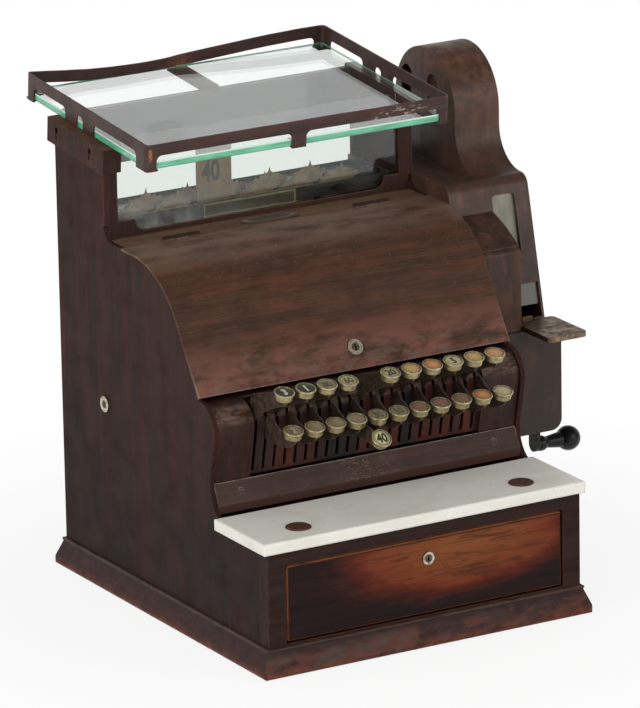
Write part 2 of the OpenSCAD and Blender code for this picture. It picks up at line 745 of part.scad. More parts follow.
module hinge_strip() color("#43261c") place() {
  difference() {
    box(-cab_in + rest_gap, cab_in - rest_gap, hinge_y + rest_gap, window_y - 3, sill_z - sheet_t, sill_z);
    barrel_clear(true, 0, hinge_y + barrel_r + 0.4);
  }
  barrels(false);
  for (s = [-1, 1])
    rod_x(s * hinge_x - 1.5 * knuckle, s * hinge_x + 1.5 * knuckle, pin_d, [hinge_y, hinge_z]);
}

module lid_2d() intersection() {
  back = hinge_y - rest_gap;
  difference() { under_lid_2d(0); under_lid_2d(lid_t); }
  polygon([run_end + 4 * lid_in, run_end - 4 * lid_in, [run_end.x, sill_z + 20], [back, sill_z + 20],
           [back, sill_z - 10], [bend_c.x, sill_z - 10], run_top + 10 * lid_in]);
}

// Frame of the lid's straight part: origin at its edge, +Y up the lid, +Z out of it.
module on_run() translate([6, run_end.x, run_end.y]) rotate([lid_bend, 0, 0])
  translate([0, lid_lock_up, 0]) children();

module lid() color("#43251a") place() {
  difference() {
    along_x(-cab_x, cab_x) lid_2d();
    barrel_clear(false, hinge_y - barrel_r - 0.4, hinge_y + 9);
    on_run() translate([0, 0, -lid_t - 1]) cylinder(h = lid_t + 2, d = lock_d - 3 + 2 * run_gap);
  }
  difference() {
    barrels(true);
    rod_x(-cab_x, cab_x, pin_d + 2 * run_gap, [hinge_y, hinge_z]);
  }
}

module lid_lock() color("#b9b09a") place() on_run() lock_barrel(lock_d, 16);
module lid_lock_plug() color("#8f8775") place() on_run() lock_plug(16);

// ---- Window ----

// Frame of the sloping head: origin on the shelf's plane above the window's front.
module on_head() translate([0, window_y, head_z]) rotate([shelf_tilt, 0, 0]) children();

module keyhole_2d() { translate([0, 4]) circle(3.4); translate([-1.6, -6]) square([3.2, 10]); }

// Posts and deep header behind the rear pane, hung from the caps on the side panels.
module back_frame() {
  y = cab_back - 8.5 + pane_t + rest_gap;
  x1 = cab_in - rest_gap;
  x2 = cab_x - post_w + 0.5;
  z0 = trough_z + 4 + 2 * rest_gap;
  z1 = head_z + (y - window_y) * tan(shelf_tilt) - 1;
  along_y(y, cab_back) polygon([[-x1, z0], [-x1, z1], [x1, z1], [x1, z0], [x2, z0], [x2, z1 - header_h],
                                [-x2, z1 - header_h], [-x2, z0]]);
}

module window_frame() color("#40241b") place() {
  y1 = window_y - rest_gap;
  half = cab_x - post_w;
  top = head_z - (head_t + rest_gap) / cos(shelf_tilt) - 1;
  difference() {
    along_y(y1 - post_t, y1) {
      translate([-cab_in + rest_gap, sill_z + rest_gap])
        square([2 * (cab_in - rest_gap), top - sill_z - rest_gap]);
      translate([-cab_x, sill_z + foot_r + rest_gap]) square([2 * cab_x, top - sill_z - foot_r - rest_gap]);
    }
    box(-half - 0.5, half + 0.5, y1 - 9, y1 + 9, sill_z + 18, head_z + 9);
    along_y(y1 - 9, y1 + 9) rounded_rect(-152, 154, sill_z + 5, sill_z + 60, 12);
  }
  box(-cab_in + 1, cab_in - 1, y1 - 1, y1 + pane_t + 2, sill_z + 1, sill_z + 3);
  back_frame();
  both_sides() on_head() difference() {
    box(half, cab_x + head_side, -13.5, head_l - 13.5, -head_h, 0);
    box(half + head_t, cab_x + head_side - head_t, head_t - 13.5, head_l - 13.5 - head_t,
        -head_h - 1, -head_t);
    for (y = [17, 90]) translate([cab_x - 5, y, -14]) rotate([90, 0, 90]) linear_extrude(20) keyhole_2d();
  }
}

// A pane as an outline across the opening, narrower between the caps, from z0 up to z1.
module pane_2d(z0, z1, cap_z) {
  x1 = cab_in - rest_gap - 4;
  x2 = cab_x - post_w - 2 * rest_gap;
  polygon([[-x1, z0], [x1, z0], [x1, cap_z], [x2, cap_z], [x2, z1], [-x2, z1], [-x2, cap_z], [-x1, cap_z]]);
}

module window_glass() color("#9fb0a8", 0.4) place() {
  y1 = window_y + rest_gap;
  y2 = cab_back - 8.5;
  rise = (y2 - window_y) * tan(shelf_tilt);
  along_y(y1, y1 + pane_t) pane_2d(sill_z + 3 + rest_gap, head_z - rest_gap - 0.4, head_z - head_h - 1);
  along_y(y2, y2 + pane_t) pane_2d(trough_z + rest_gap, head_z + rise - 0.5, head_z + rise - head_h - 1);
}

module flag_trough() color("#3d423a") place() difference() {
  x1 = cab_in - rest_gap;
  end = cab_in - 19;
  y1 = cab_back - sheet_t;
  union() {
    box(-x1, x1, trough_front, y1, trough_z - sheet_t, trough_z);
    box(-x1, x1, trough_front, trough_front + 1.5, trough_z - sheet_t, trough_z + 12);
    box(-x1, x1, y1 - 1.5, y1, trough_z - sheet_t, trough_z + 4);
    both_sides() box(end, end + 1.5, trough_front, cab_back - 9, trough_z - sheet_t, trough_z + 12);
  }
  for (i = [0:key_count - 1]) translate([key_x(i), flag_y + (i % 4) * flag_row, trough_z - 9])
    translate([-flag_w / 2 - 0.5, -flag_t / 2 - 0.5, 0]) cube([flag_w + 1, flag_t + 1, 12]);
  box(-x1 - 1, -end - 6, y1 - 10, y1 + 1, trough_z, trough_z + 9);
}

// Plates that carry no lettering: a long one behind the window's foot and an oval one on the sill.
module nameplates() color("#8a8468") place() {
  y = trough_front - 1.2;
  box(plate_x - plate_l / 2, plate_x + plate_l / 2, y, y + 1.2, sill_z + 4, sill_z + 19);
  for (s = [-1, 1])
    translate([plate_x + s * (plate_l / 2 - 8.6), y + 0.2, sill_z + 12])
      rotate([90, 0, 0])
        cylinder(h = 1, d = 5);
  translate([0, hinge_y + 15, sill_z]) linear_extrude(1) {
    translate([-24, -11]) square([48, 22]);
    for (s = [-1, 1]) translate([s * 24, 0]) circle(11);
  }
}

// ---- Flags ----

// A price flag, drawn as it stands when it is up. A stem under it reaches down to the works.
module flag(i, peak) translate([key_x(i), flag_y + (i % 4) * flag_row - flag_t / 2, trough_z])
  along_y(0, flag_t) {
    polygon([[-flag_w / 2, -6], [flag_w / 2, -6], [flag_w / 2, flag_show - peak], [0, flag_show],
             [-flag_w / 2, flag_show - peak]]);
    translate([-3, -46]) square([6, 42]);
  }

module raised_flag() color("#a88f68") place() flag(pressed_key, 1);

module lowered_flags() color("#8d7350") place() translate([0, 0, -flag_lift])
  for (i = [0:key_count - 1]) if (i != pressed_key) flag(i, 14);

// ---- Shelf ----

module shelf_glass() color("#a8cfc0", 0.4) place() on_head() translate([0, 0, rest_gap])
  linear_extrude(shelf_t) rounded_rect(-shelf_w / 2, shelf_w / 2, -shelf_front, -shelf_front + shelf_d, 5);

// An opening with two round upper corners, from u0 to u1.
module arch_2d(u0, u1) {
  translate([u0, -30]) square([u1 - u0, 30 + rail_low - arch_r]);
  translate([u0 + arch_r, -30]) square([u1 - u0 - 2 * arch_r, 30 + rail_low]);
  for (u = [u0 + arch_r, u1 - arch_r]) translate([u, rail_low - arch_r]) circle(arch_r);
}

module gallery_rail() color("#4a2a1c") place() on_head() {
  half = shelf_w / 2 + rest_gap + rail_t;
  f = -shelf_front - rest_gap - rail_t;
  b = -shelf_front + shelf_d + rest_gap + rail_t;
  leg = 12;
  difference() {
    translate([0, 0, -2]) linear_extrude(rail_low + rail_h + 2) difference() {
      rounded_rect(-half, half, f, b, 6);
      rounded_rect(-half + rail_t, half - rail_t, f + rail_t, b - rail_t, 4);
    }
    for (w = [[f + 23, 27], [49.7, 64.2], [88.3, b - 17]])
      translate([-half - 1, 0, 0]) rotate([90, 0, 90]) linear_extrude(2 * half + 2) arch_2d(w[0], w[1]);
    for (w = [[-half + leg, -9], [8, half - leg]])
      along_y(f - 1, b + 1) arch_2d(w[0], w[1]);
    box(-half - 1, half + 1, f + 24, b - 18, -9, rest_gap);
  }
  for (sx = [-1, 1], y = [f + 0.5, b - 14.5])
    box(sx > 0 ? half - 14 : -half + 0.5, sx > 0 ? half - 0.5 : -half + 14, y, y + 14, -2, 0);
  for (y = [f + 0.5, b - 12.5]) box(-8, 7, y, y + 12, -2, 0);
  arm_front = (cab_back - window_y) / cos(shelf_tilt) + 2 * rest_gap;
  box(-shelf_arm_w / 2, shelf_arm_w / 2, arm_front, b - 0.5, -2, 0);
}

// ---- Printer ----

// Printer's side outline, q millimetres inside its face: hood, hollow neck, shoulder, front, ledge.
module printer_2d(q) {
  difference() {
    union() {
      translate(drum) circle(drum_r - q);
      polygon([[printer_y + q, printer_z + q], [cab_back - q, printer_z + q], [cab_back - q, drum.y],
               [drum.x - drum_r + q, drum.y], [drum.x - drum_r + q, neck.y], neck,
               shoulder, shoulder + (shoulder_r - q) * lean,
               [front_y(ledge_top - q, q), ledge_top - q], [printer_y + q, ledge_top - q]]);
    }
    translate(neck) circle(neck_r + q);
  }
  translate(shoulder) circle(shoulder_r - q);
}

// Solid filled by the case, q millimetres inside its faces.
module printer_solid(q) intersection() {
  union() {
    along_x(hood_x + q, px1 - q) printer_2d(q);
    along_x(px0 + q, px1 - q) intersection() {
      printer_2d(q);
      translate([0, 0]) square([base_d, shoulder_z - q]);
    }
  }
  along_y(0, base_d) union() {
    rounded_rect(px0 + q, px1 - q, printer_z + q, drum.y, printer_corner - q);
    translate([px0 + q, drum.y - 40]) square([printer_w - 2 * q, drum_r + 60]);
    translate([px0 + q, printer_z + q]) square([printer_w / 2, 60]);
  }
}

module printer_case() color("#3c2119") place() {
  difference() {
    printer_solid(0);
    printer_solid(case_t);
    along_y(printer_y, printer_y + 82)
      rounded_rect(hood_x + 9, hood_x + 37.5, ledge_top + 71, shoulder_z - 17, 4);
    box(hood_x + 10, px1 - case_t, printer_y + 20, printer_y + 60, ledge_top + 2, ledge_top + 39);
    for (y = [drum.x - 16, drum.x + 38]) along_x(hood_x - 1, hood_x + case_t + 1) {
      translate([y, drum.y + 8]) circle(11);
      translate([y, drum.y + 24]) circle(11);
      translate([y - 11, drum.y + 8]) square([22, 16]);
    }
    rod_x(px0 - 1, px1 + 1, main_d + 2 * free_gap, main);
  }
  rod_x(hood_x + case_t - 0.5, px1 - case_t + 0.5, spindle_d, drum);
  difference() {
    rod_x(px1 - case_t - 8, px1, main_d + 12, main);
    rod_x(px1 - case_t - 9, px1 + 1, main_d + 2 * run_gap, main);
  }
}

// Bulging cover in front of the case's left part.
ribbon_top = [front_y(ledge_top + 120.4, -rest_gap), ledge_top + 120.4];
ribbon_low = [printer_y + 8, ledge_top + 94.5];
ribbon_r = 180;
ribbon_d = ribbon_top - ribbon_low;
ribbon_c = (ribbon_top + ribbon_low) / 2
  + sqrt(ribbon_r * ribbon_r - ribbon_d * ribbon_d / 4) * [ribbon_d.y, -ribbon_d.x] / norm(ribbon_d);

module ribbon_2d(q) difference() {
  foot = ledge_top + rest_gap + q;
  union() {
    intersection() {
      translate(ribbon_c) circle(ribbon_r - q, $fn = 180);
      polygon([[ribbon_low.x, foot], ribbon_low, ribbon_top + [0, 20], [ribbon_top.x, foot]]);
    }
    translate([ribbon_low.x - 5.6 + q, foot]) square([9, ribbon_low.y - foot - 7]);
    translate([ribbon_low.x + 2.4, ribbon_low.y - 8.5]) circle(8 - q);
  }
  printer_2d(-rest_gap - q);
}

module ribbon_cover() color("#38201a") place() difference() {
  x1 = hood_x + 7.5;
  along_x(px0, x1) ribbon_2d(0);
  along_x(px0 + 2, x1 - 2) ribbon_2d(2);
}

// Pale plates behind the two openings of the printer's front.
module paper_window() color("#a9b0a0") place() {
  q = case_t + rest_gap;
  low = ledge_top + pale_low;
  high = shoulder_z - pale_top;
  along_x(hood_x + case_t + rest_gap, px1 - case_t - rest_gap)
    polygon([[front_y(low, q), low], [front_y(low, q) + 1.8, low], [front_y(high, q) + 1.8, high],
             [front_y(high, q), high]]);
}

module receipt_tray() color("#b0a68c") place() {
  x0 = px1 - tray_w + 0.5;
  x1 = px1 + 0.5;
  z0 = ledge_top + rest_gap;
  difference() {
    translate([0, 0, z0]) linear_extrude(tray_h) rounded_rect(x0, x1, tray_y, tray_y + tray_d, 6);
    translate([0, 0, z0 - 1]) linear_extrude(tray_h - 1)
      rounded_rect(x0 + 2, x1 - 2, tray_y + 2, tray_y + tray_d - 2, 4);
  }
  box(
    x0 + hook_x, x0 + 2.5 * hook_x,
    tray_y + tray_d - 5, tray_y + tray_d - 3,
    z0 + tray_h - 1, z0 + tray_h + 6
  );
}

module paper_roll() color("#e6e0cc") place() difference() {
  x0 = hood_x + (hood_w - roll_w) / 2;
  rod_x(x0, x0 + roll_w, roll_d, drum);
  rod_x(x0 - 1, x0 + roll_w + 1, spindle_d + 2 * run_gap, drum);
}

// ---- Crank ----

arm_x = px1 + 4;
knob_at = [main.x, main.y - crank_r];

module crank_arm() color("#6e675c") place() {
  difference() {
    union() {
      along_x(arm_x, arm_x + arm_t) {
        translate(main) circle(d = arm_w + 8);
        bar_path([main, knob_at], arm_w);
      }
      rod_x(px1 + rest_gap, arm_x + arm_t + 3, main_d + 8, main);
    }
    rod_x(px1 - 1, px1 + rest_gap + arm_t, main_d, main);
  }
  rod_x(arm_x + arm_t - 0.5, arm_x + arm_t + 2, arm_w, knob_at);
  rod_x(arm_x + arm_t, arm_x + arm_t + knob_l - 10, knob_pin_d, knob_at);
}

// Turned knob: ferrule, neck, bulb.
module crank_knob() color("#141312") place() {
  x0 = arm_x + arm_t + 2 + rest_gap;
  bulb = knob_d / 2;
  translate([x0, knob_at.x, knob_at.y]) rotate([0, 90, 0]) difference() {
    union() {
      cylinder(h = 5, d = 17);
      translate([0, 0, 4]) cylinder(h = 6, d1 = 17, d2 = 12.5);
      translate([0, 0, 9]) cylinder(h = knob_l - 9 - 1.7 * bulb, d1 = 12.5, d2 = 18);
      translate([0, 0, knob_l - bulb]) sphere(bulb);
    }
    translate([0, 0, -1]) cylinder(h = knob_l - 8, d = knob_pin_d + 2 * run_gap);
  }
}

// ---- Parts ----

base_moulding();
drawer_case();
left_side_panel();
right_side_panel();
back_panel();
marble_sill();
marble_caps();
drawer_box();
drawer_front();
drawer_runners();
drawer_lock();
drawer_lock_plug();
keyboard_cover();
ledge_strip();
key_shaft();
works_frame();
hinge_strip();
lid();
lid_lock();
lid_lock_plug();
side_lock();
side_lock_plug();
window_frame();
window_glass();
flag_trough();
nameplates();
lowered_flags();
raised_flag();
shelf_glass();
gallery_rail();
printer_case();
ribbon_cover();
paper_window();
receipt_tray();
paper_roll();
crank_arm();
crank_knob();
main_shaft();
for (k = [1:key_count / 2]) {
  ticket_key(2 * k - 2);
  ticket_key(2 * k - 1);
}
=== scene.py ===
from math import cos, inf, pi, radians, sin

import bmesh
import bpy
from mathutils import Matrix, Vector, noise


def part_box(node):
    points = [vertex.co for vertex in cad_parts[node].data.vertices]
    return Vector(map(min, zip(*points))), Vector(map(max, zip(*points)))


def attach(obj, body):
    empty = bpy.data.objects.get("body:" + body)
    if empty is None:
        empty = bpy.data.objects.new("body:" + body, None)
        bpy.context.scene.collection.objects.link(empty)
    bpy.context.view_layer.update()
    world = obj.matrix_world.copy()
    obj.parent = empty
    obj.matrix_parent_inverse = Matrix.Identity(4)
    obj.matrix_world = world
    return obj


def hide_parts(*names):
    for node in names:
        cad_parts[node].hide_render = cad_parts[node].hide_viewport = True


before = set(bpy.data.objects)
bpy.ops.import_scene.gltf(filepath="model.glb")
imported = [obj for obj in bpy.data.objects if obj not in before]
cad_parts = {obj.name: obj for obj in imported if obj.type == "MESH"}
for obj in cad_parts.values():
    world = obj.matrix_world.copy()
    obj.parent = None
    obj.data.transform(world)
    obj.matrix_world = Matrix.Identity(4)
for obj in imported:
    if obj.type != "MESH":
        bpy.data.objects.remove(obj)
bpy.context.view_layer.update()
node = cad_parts
MM = 0.001

# ---- The studio ----
# A long lens from the front left, a little above the shelf, and a pale paper sweep. The floor keeps
# the object's shadow close by and runs out to plain white.
swing = radians(29.904)
height = radians(16.861)
roll = radians(-1.068)
distance = 7.1743
aim = Vector((0, 0.01925, 0.25))
sight = Vector((sin(swing) * cos(height), cos(swing) * cos(height), -sin(height)))
right = Vector((cos(swing), -sin(swing), 0))
up = right.cross(sight)
camera_right = right * cos(roll) + up * sin(roll)
camera_up = up * cos(roll) - right * sin(roll)
lens = bpy.data.cameras.new("camera")
lens.sensor_width = 36
lens.lens = 343.97
# The shift in pixels, as a share of the picture's longer side.
long_side = 708
lens.shift_x = 12.742 / long_side
lens.shift_y = 5.193 / long_side
lens.clip_start = 0.1
lens.clip_end = 60
camera = bpy.data.objects.new("camera", lens)
columns = Matrix((camera_right, camera_up, -sight)).transposed().to_4x4()
camera.matrix_world = Matrix.Translation(aim - sight * distance) @ columns
bpy.context.scene.collection.objects.link(camera)
bpy.context.scene.camera = camera
bpy.context.scene.view_settings.view_transform = "Standard"


def linear(colour):
    """An sRGB hex colour as Blender's linear red, green, blue and alpha."""
    parts = [int(colour[i : i + 2], 16) / 255 for i in (1, 3, 5)]
    parts = [p / 12.92 if p <= 0.04045 else ((p + 0.055) / 1.055) ** 2.4 for p in parts]
    return (*parts, 1.0)


def wire(made, sockets):
    """Fills a node's sockets. Each takes a number, a hex colour, a node or one output of a node."""
    for name, value in sockets.items():
        socket = next(s for s in made.inputs if s.enabled and name in (s.name, s.identifier))
        if isinstance(value, bpy.types.Node):
            value = next(s for s in value.outputs if s.enabled)
        if isinstance(value, bpy.types.NodeSocket):
            made.id_data.links.new(value, socket)
        else:
            socket.default_value = linear(value) if isinstance(value, str) else value


def add(tree, kind, sockets=None, stops=None, **settings):
    """A new node with its settings, its sockets and, on a ramp, its colour stops."""
    made = tree.nodes.new("ShaderNode" + kind)
    for name, value in settings.items():
        setattr(made, name, value)
    wire(made, sockets or {})
    if stops:
        ramp = made.color_ramp.elements
        while len(ramp) < len(stops):
            ramp.new(1)
        for place, (position, colour) in zip(ramp, stops):
            place.position = position
            place.color = linear(colour)
    return made


# A gloss sees the backdrop's white behind the object and round the horizon, and the dimmer room that
# the softboxes stand in before it and overhead.
world = bpy.data.worlds.new("studio_air")
bpy.context.scene.world = world
world.use_nodes = True
air = world.node_tree
air.nodes.clear()
path = add(air, "LightPath")
aimed = add(air, "TexCoord")
aimed = add(air, "SeparateXYZ", {"Vector": aimed.outputs["Generated"]})
behind = add(air, "MapRange", {"Value": aimed.outputs["Y"], "From Min": -0.5, "From Max": 0.3},
             interpolation_type="SMOOTHSTEP")
below = add(air, "MapRange", {"Value": aimed.outputs["Z"], "From Min": 0.75, "From Max": 0.35},
            interpolation_type="SMOOTHSTEP")
room = add(air, "Math", {"Value": behind, "Value_001": below}, operation="MULTIPLY")
room = add(air, "MapRange", {"Value": room, "To Min": 0.14, "To Max": 1.0})
plain = add(air, "Math", {"Value": path.outputs["Is Camera Ray"],
                          "Value_001": path.outputs["Is Transmission Ray"]}, operation="MAXIMUM")
level = add(air, "Math", {"Value": plain, "Value_001": room}, operation="MAXIMUM")
seen = add(air, "Math", {"Value": plain, "Value_001": path.outputs["Is Glossy Ray"]}, operation="MAXIMUM")
soft = add(air, "Background", {"Color": "#ffffff", "Strength": 0.43})
white = add(air, "Background", {"Color": "#ffffff", "Strength": level})
sky = add(air, "MixShader", {"Fac": seen, "Shader": soft, "Shader_001": white})
add(air, "OutputWorld", {"Surface": sky})

for name, turn, lift, reach, size, power in (
    ("key_softbox", -60, 18, 3.2, 2.4, 53),
    ("fill_softbox", 28, 16, 3.4, 2.4, 34),
):
    lamp = bpy.data.lights.new(name, "AREA")
    lamp.shape = "RECTANGLE"
    lamp.size = size
    lamp.size_y = size * 0.8
    lamp.energy = power
    box = bpy.data.objects.new(name, lamp)
    level_way = cos(radians(lift))
    toward = Vector((sin(radians(turn)) * level_way, -cos(radians(turn)) * level_way, sin(radians(lift))))
    box.location = aim + toward * reach
    box.rotation_euler = (-toward).to_track_quat("-Z", "Y").to_euler()
    bpy.context.scene.collection.objects.link(box)


def new_finish(name):
    """A material with a Principled BSDF as its only shader: the material, its nodes and that shader."""
    made = bpy.data.materials.new(name)
    made.use_nodes = True
    tree = made.node_tree
    tree.nodes.clear()
    shader = add(tree, "BsdfPrincipled")
    add(tree, "OutputMaterial", {"Surface": shader})
    return made, tree, shader


def steps(tree, x, y, z):
    """Where a point is on the piece, counted in steps of so many millimetres along each axis."""
    place = add(tree, "TexCoord")
    return add(tree, "VectorMath", {"Vector": place.outputs["Object"],
                                    "Vector_001": (1000 / x, 1000 / y, 1000 / z)}, operation="MULTIPLY")


def patches(tree, size, low, high, top=1.0, detail=4.0, twist=0.0, grit=0.6):
    """Soft patches of that size in millimetres (or sizes along the axes), as a share from 0 to top."""
    cells = size if isinstance(size, tuple) else (size, size, size)
    cloud = add(tree, "TexNoise", {"Vector": steps(tree, *cells), "Scale": 1.0, "Detail": detail,
                                   "Roughness": grit, "Distortion": twist})
    return add(tree, "MapRange", {"Value": cloud, "From Min": low, "From Max": high, "To Max": top})


sweep = bpy.data.meshes.new("paper_sweep")
half, under = 9, -0.6 * MM
corners = [(-half, -half, under), (half, -half, under), (half, half, under), (-half, half, under)]
sweep.from_pydata(corners, [], [(0, 1, 2, 3)])
floor = bpy.data.objects.new("paper_sweep", sweep)
bpy.context.scene.collection.objects.link(floor)
paper, tree, shader = new_finish("matt_studio_paper")
tooth = add(tree, "Bump", {"Height": patches(tree, 2, 0.3, 0.7), "Distance": 0.0001, "Strength": 0.2})
wire(shader, {"Base Color": "#f4f4f2", "Roughness": 0.9, "Specular IOR Level": 0.1, "Normal": tooth})
spread = add(tree, "VectorMath", {"Vector": steps(tree, 1000, 1000, 1000)}, operation="LENGTH")
far = add(tree, "MapRange", {"Value": spread.outputs["Value"], "From Min": 0.25, "From Max": 0.75,
                             "To Min": 0.86, "To Max": 1.0}, interpolation_type="SMOOTHSTEP")
path = add(tree, "LightPath")
looked = add(tree, "Math", {"Value": path.outputs["Is Camera Ray"],
                            "Value_001": path.outputs["Is Glossy Ray"]}, operation="MAXIMUM")
looked = add(tree, "Math", {"Value": looked, "Value_001": path.outputs["Is Transmission Ray"]},
             operation="MAXIMUM")
share = add(tree, "Math", {"Value": looked, "Value_001": far}, operation="MULTIPLY")
glow = add(tree, "Emission", {"Color": "#ffffff", "Strength": 1.0})
both = add(tree, "MixShader", {"Fac": share, "Shader": shader, "Shader_001": glow})
wire(next(n for n in tree.nodes if n.type == "OUTPUT_MATERIAL"), {"Surface": both})
sweep.materials.append(paper)


# ---- Sheet-steel case ----
# Pressed steel sheet, enamelled brown and grained with a steel comb to look like mahogany, then
# varnished and baked. A century of hands has dulled it and rubbed its edges through to red primer.
def give(finish, *names):
    """These CAD nodes get that finish."""
    for name in names:
        node[name].data.materials.clear()
        node[name].data.materials.append(finish)


def tint(tree, shares, under, over):
    """One colour over another, where all of the shares hold."""
    share, *others = shares if isinstance(shares, (list, tuple)) else [shares]
    for other in others:
        share = add(tree, "Math", {"Value": share, "Value_001": other}, operation="MULTIPLY")
    mixed = add(tree, "Mix", {"Factor": share, "A": under, "B": over}, data_type="RGBA")
    return mixed.outputs[2]


def zone(tree, axis, start, end):
    """A share that rises from 0 to 1 between two places in millimetres along one axis."""
    place = add(tree, "TexCoord")
    place = add(tree, "SeparateXYZ", {"Vector": place.outputs["Object"]})
    return add(tree, "MapRange", {"Value": place.outputs[axis], "From Min": start * MM, "From Max": end * MM})


def facing(tree, way, start, end):
    """A share that rises as the surface turns towards a direction."""
    own = add(tree, "NewGeometry")
    turn = add(tree, "VectorMath", {"Vector": own.outputs["Normal"], "Vector_001": Vector(way).normalized()},
               operation="DOT_PRODUCT")
    return add(tree, "MapRange", {"Value": turn.outputs["Value"], "From Min": start, "From Max": end})


def edge_share(tree, radius, low, high):
    """How much a point lies on a worn edge, from the turn of the surface within radius millimetres."""
    rounded = add(tree, "Bevel", {"Radius": radius * MM}, samples=6)
    own = add(tree, "NewGeometry")
    turn = add(tree, "VectorMath", {"Vector": rounded, "Vector_001": own.outputs["Normal"]},
               operation="DOT_PRODUCT")
    return add(tree, "MapRange", {"Value": turn.outputs["Value"], "From Min": high, "From Max": low})


def relief(tree, shader, bumps, depth, radius=0.4):
    """Bumps of that depth in millimetres over edges rounded to radius."""
    rounded = add(tree, "Bevel", {"Radius": radius * MM}, samples=4)
    bump = add(tree, "Bump", {"Height": bumps, "Distance": depth * MM, "Strength": 1.0, "Normal": rounded})
    wire(shader, {"Normal": bump})


def grained_enamel(name, axis, ground, dark, ruddy, edge, gloss=0.5, level=0.1, wear=0.8, band=(9, 260),
                   mottle=0.35, streaks=0.75):
    """Enamel grained along one axis: the finish, its nodes, its shader and its colour.

    A band is as wide and as long as that in millimetres."""
    finish, tree, shader = new_finish(name)
    along = "XYZ".index(axis)
    # The comb's teeth left lines a millimetre wide. They are drawn a little coarser, so that they show.
    fine, broad, pores = [1.6] * 3, [band[0]] * 3, [0.9] * 3
    fine[along], broad[along], pores[along] = 120, band[1], 16
    comb = patches(tree, tuple(fine), 0.40, 0.66, top=0.6, detail=3.0, twist=0.2)
    colour = tint(tree, comb, ground, dark)
    colour = tint(tree, patches(tree, tuple(broad), 0.46, 0.62, top=0.8, twist=0.5), colour, ruddy)
    broad[along] *= 0.7
    broad = [b * 1.4 for b in broad]
    colour = tint(tree, patches(tree, tuple(broad), 0.50, 0.66, top=streaks, twist=0.7), colour, dark)
    smoke = patches(tree, 28, 0.42, 0.70, top=mottle, detail=7.0)
    colour = tint(tree, smoke, colour, dark)
    # Pores and grit: short dark dashes along the grain, and pale specks where the varnish chipped.
    dashes = patches(tree, tuple(pores), 0.60, 0.74, top=0.5, detail=1.0)
    colour = tint(tree, dashes, colour, "#1c1412")
    specks = [patches(tree, 1.3, 0.73, 0.80, detail=1.0), patches(tree, 34, 0.48, 0.62, detail=2.0)]
    colour = tint(tree, specks, colour, edge)
    broken = patches(tree, 5, 0.40, 0.62, top=wear, detail=5.0, grit=0.7)
    colour = tint(tree, [edge_share(tree, 1.4, 0.72, 0.985), broken], colour, edge)
    dull = add(tree, "MapRange", {"Value": smoke, "From Max": mottle, "To Min": gloss,
                                  "To Max": gloss + 0.14})
    wire(shader, {"Base Color": colour, "Roughness": dull, "Specular IOR Level": level})
    peel = patches(tree, 2.2, 0.2, 0.8, detail=3.0)
    peel = add(tree, "Math", {"Value": comb, "Value_001": -0.5, "Value_002": peel}, operation="MULTIPLY_ADD")
    relief(tree, shader, peel, 0.06)
    return finish, tree, shader, colour


side_enamel, tree, shader, colour = grained_enamel(
    "grained_enamel_upright", "Z", "#372520", "#251f1f", "#45231c", "#7a4034", gloss=0.5, level=0.06,
    wear=0.7, band=(8, 300), mottle=0.3)
# The sides are darker towards the counter, where spilt drinks and wet cloths have dulled the varnish.
soiled = [patches(tree, 60, 0.2, 0.6, top=0.75), zone(tree, "Z", 260, 90)]
wire(shader, {"Base Color": tint(tree, soiled, colour, "#211917")})
give(side_enamel, "left_side_panel", "right_side_panel", "back_panel")

head_enamel, tree, shader, colour = grained_enamel(
    "grained_enamel_head", "Z", "#3d2a24", "#292120", "#4a2a21", "#7d5038", gloss=0.5, level=0.08,
    wear=0.8, band=(9, 180), mottle=0.35)
# Brown dust lies on the caps, out of the duster's reach under the shelf.
dust = [facing(tree, (0, 0, 1), 0.8, 0.97), patches(tree, 20, 0.2, 0.6, top=0.85, detail=5.0)]
wire(shader, {"Base Color": tint(tree, dust, colour, "#74523d")})
give(head_enamel, "window_frame")


# ---- Wooden base ----
# Mahogany: a moulding mitred round the base, stained dark red and french polished, and the drawer
# case above it. The polish has worn to orange wood on the arrises and to a grey bloom in front.
def polished_mahogany(name, axis, ground, dark, worn, radius=3.0, gloss=0.36, level=0.2,
                      broken=(11, 0.36, 0.60)):
    """Stained wood with its grain along one axis: the finish, its nodes, its shader and its colour."""
    finish, tree, shader = new_finish(name)
    along = "XYZ".index(axis)
    fine, broad = [0.8] * 3, [13] * 3
    fine[along], broad[along] = 26, 190
    pores = patches(tree, tuple(fine), 0.50, 0.68, top=0.7, detail=3.0)
    rings = patches(tree, tuple(broad), 0.36, 0.66, detail=5.0, twist=1.2)
    colour = tint(tree, rings, ground, dark)
    colour = tint(tree, pores, colour, dark)
    patchy = patches(tree, *broken, detail=5.0)
    colour = tint(tree, [edge_share(tree, radius, 0.74, 0.99), patchy], colour, worn)
    dull = add(tree, "MapRange", {"Value": patchy, "To Min": gloss, "To Max": gloss + 0.14})
    wire(shader, {"Base Color": colour, "Roughness": dull, "Specular IOR Level": level})
    relief(tree, shader, pores, -0.04, 0.8)
    return finish, tree, shader, colour


case_finish = polished_mahogany("stained_mahogany_case", "X", "#34241f", "#241917", "#5f3f31", radius=2.0,
                                gloss=0.45, level=0.07)[0]
give(case_finish, "drawer_case", "drawer_runners")

moulding_finish, tree, shader, colour = polished_mahogany(
    "polished_mahogany_moulding", "X", "#3c1711", "#230e0b", "#8a4526", radius=3.2, gloss=0.34, level=0.16)
# The bloom lies on the front slope, where feet and brooms have dulled the polish.
front_slope = facing(tree, (0, -0.95, 0.3), 0.6, 0.9)
bloom = patches(tree, (30, 26, 12), 0.36, 0.60, top=0.85, detail=6.0)
colour = tint(tree, [front_slope, bloom, zone(tree, "X", 190, -40)], colour, "#4d3c36")
kept_polish = patches(tree, (24, 26, 9), 0.50, 0.58, top=0.8, detail=6.0)
colour = tint(tree, [front_slope, kept_polish], colour, "#552a1d")
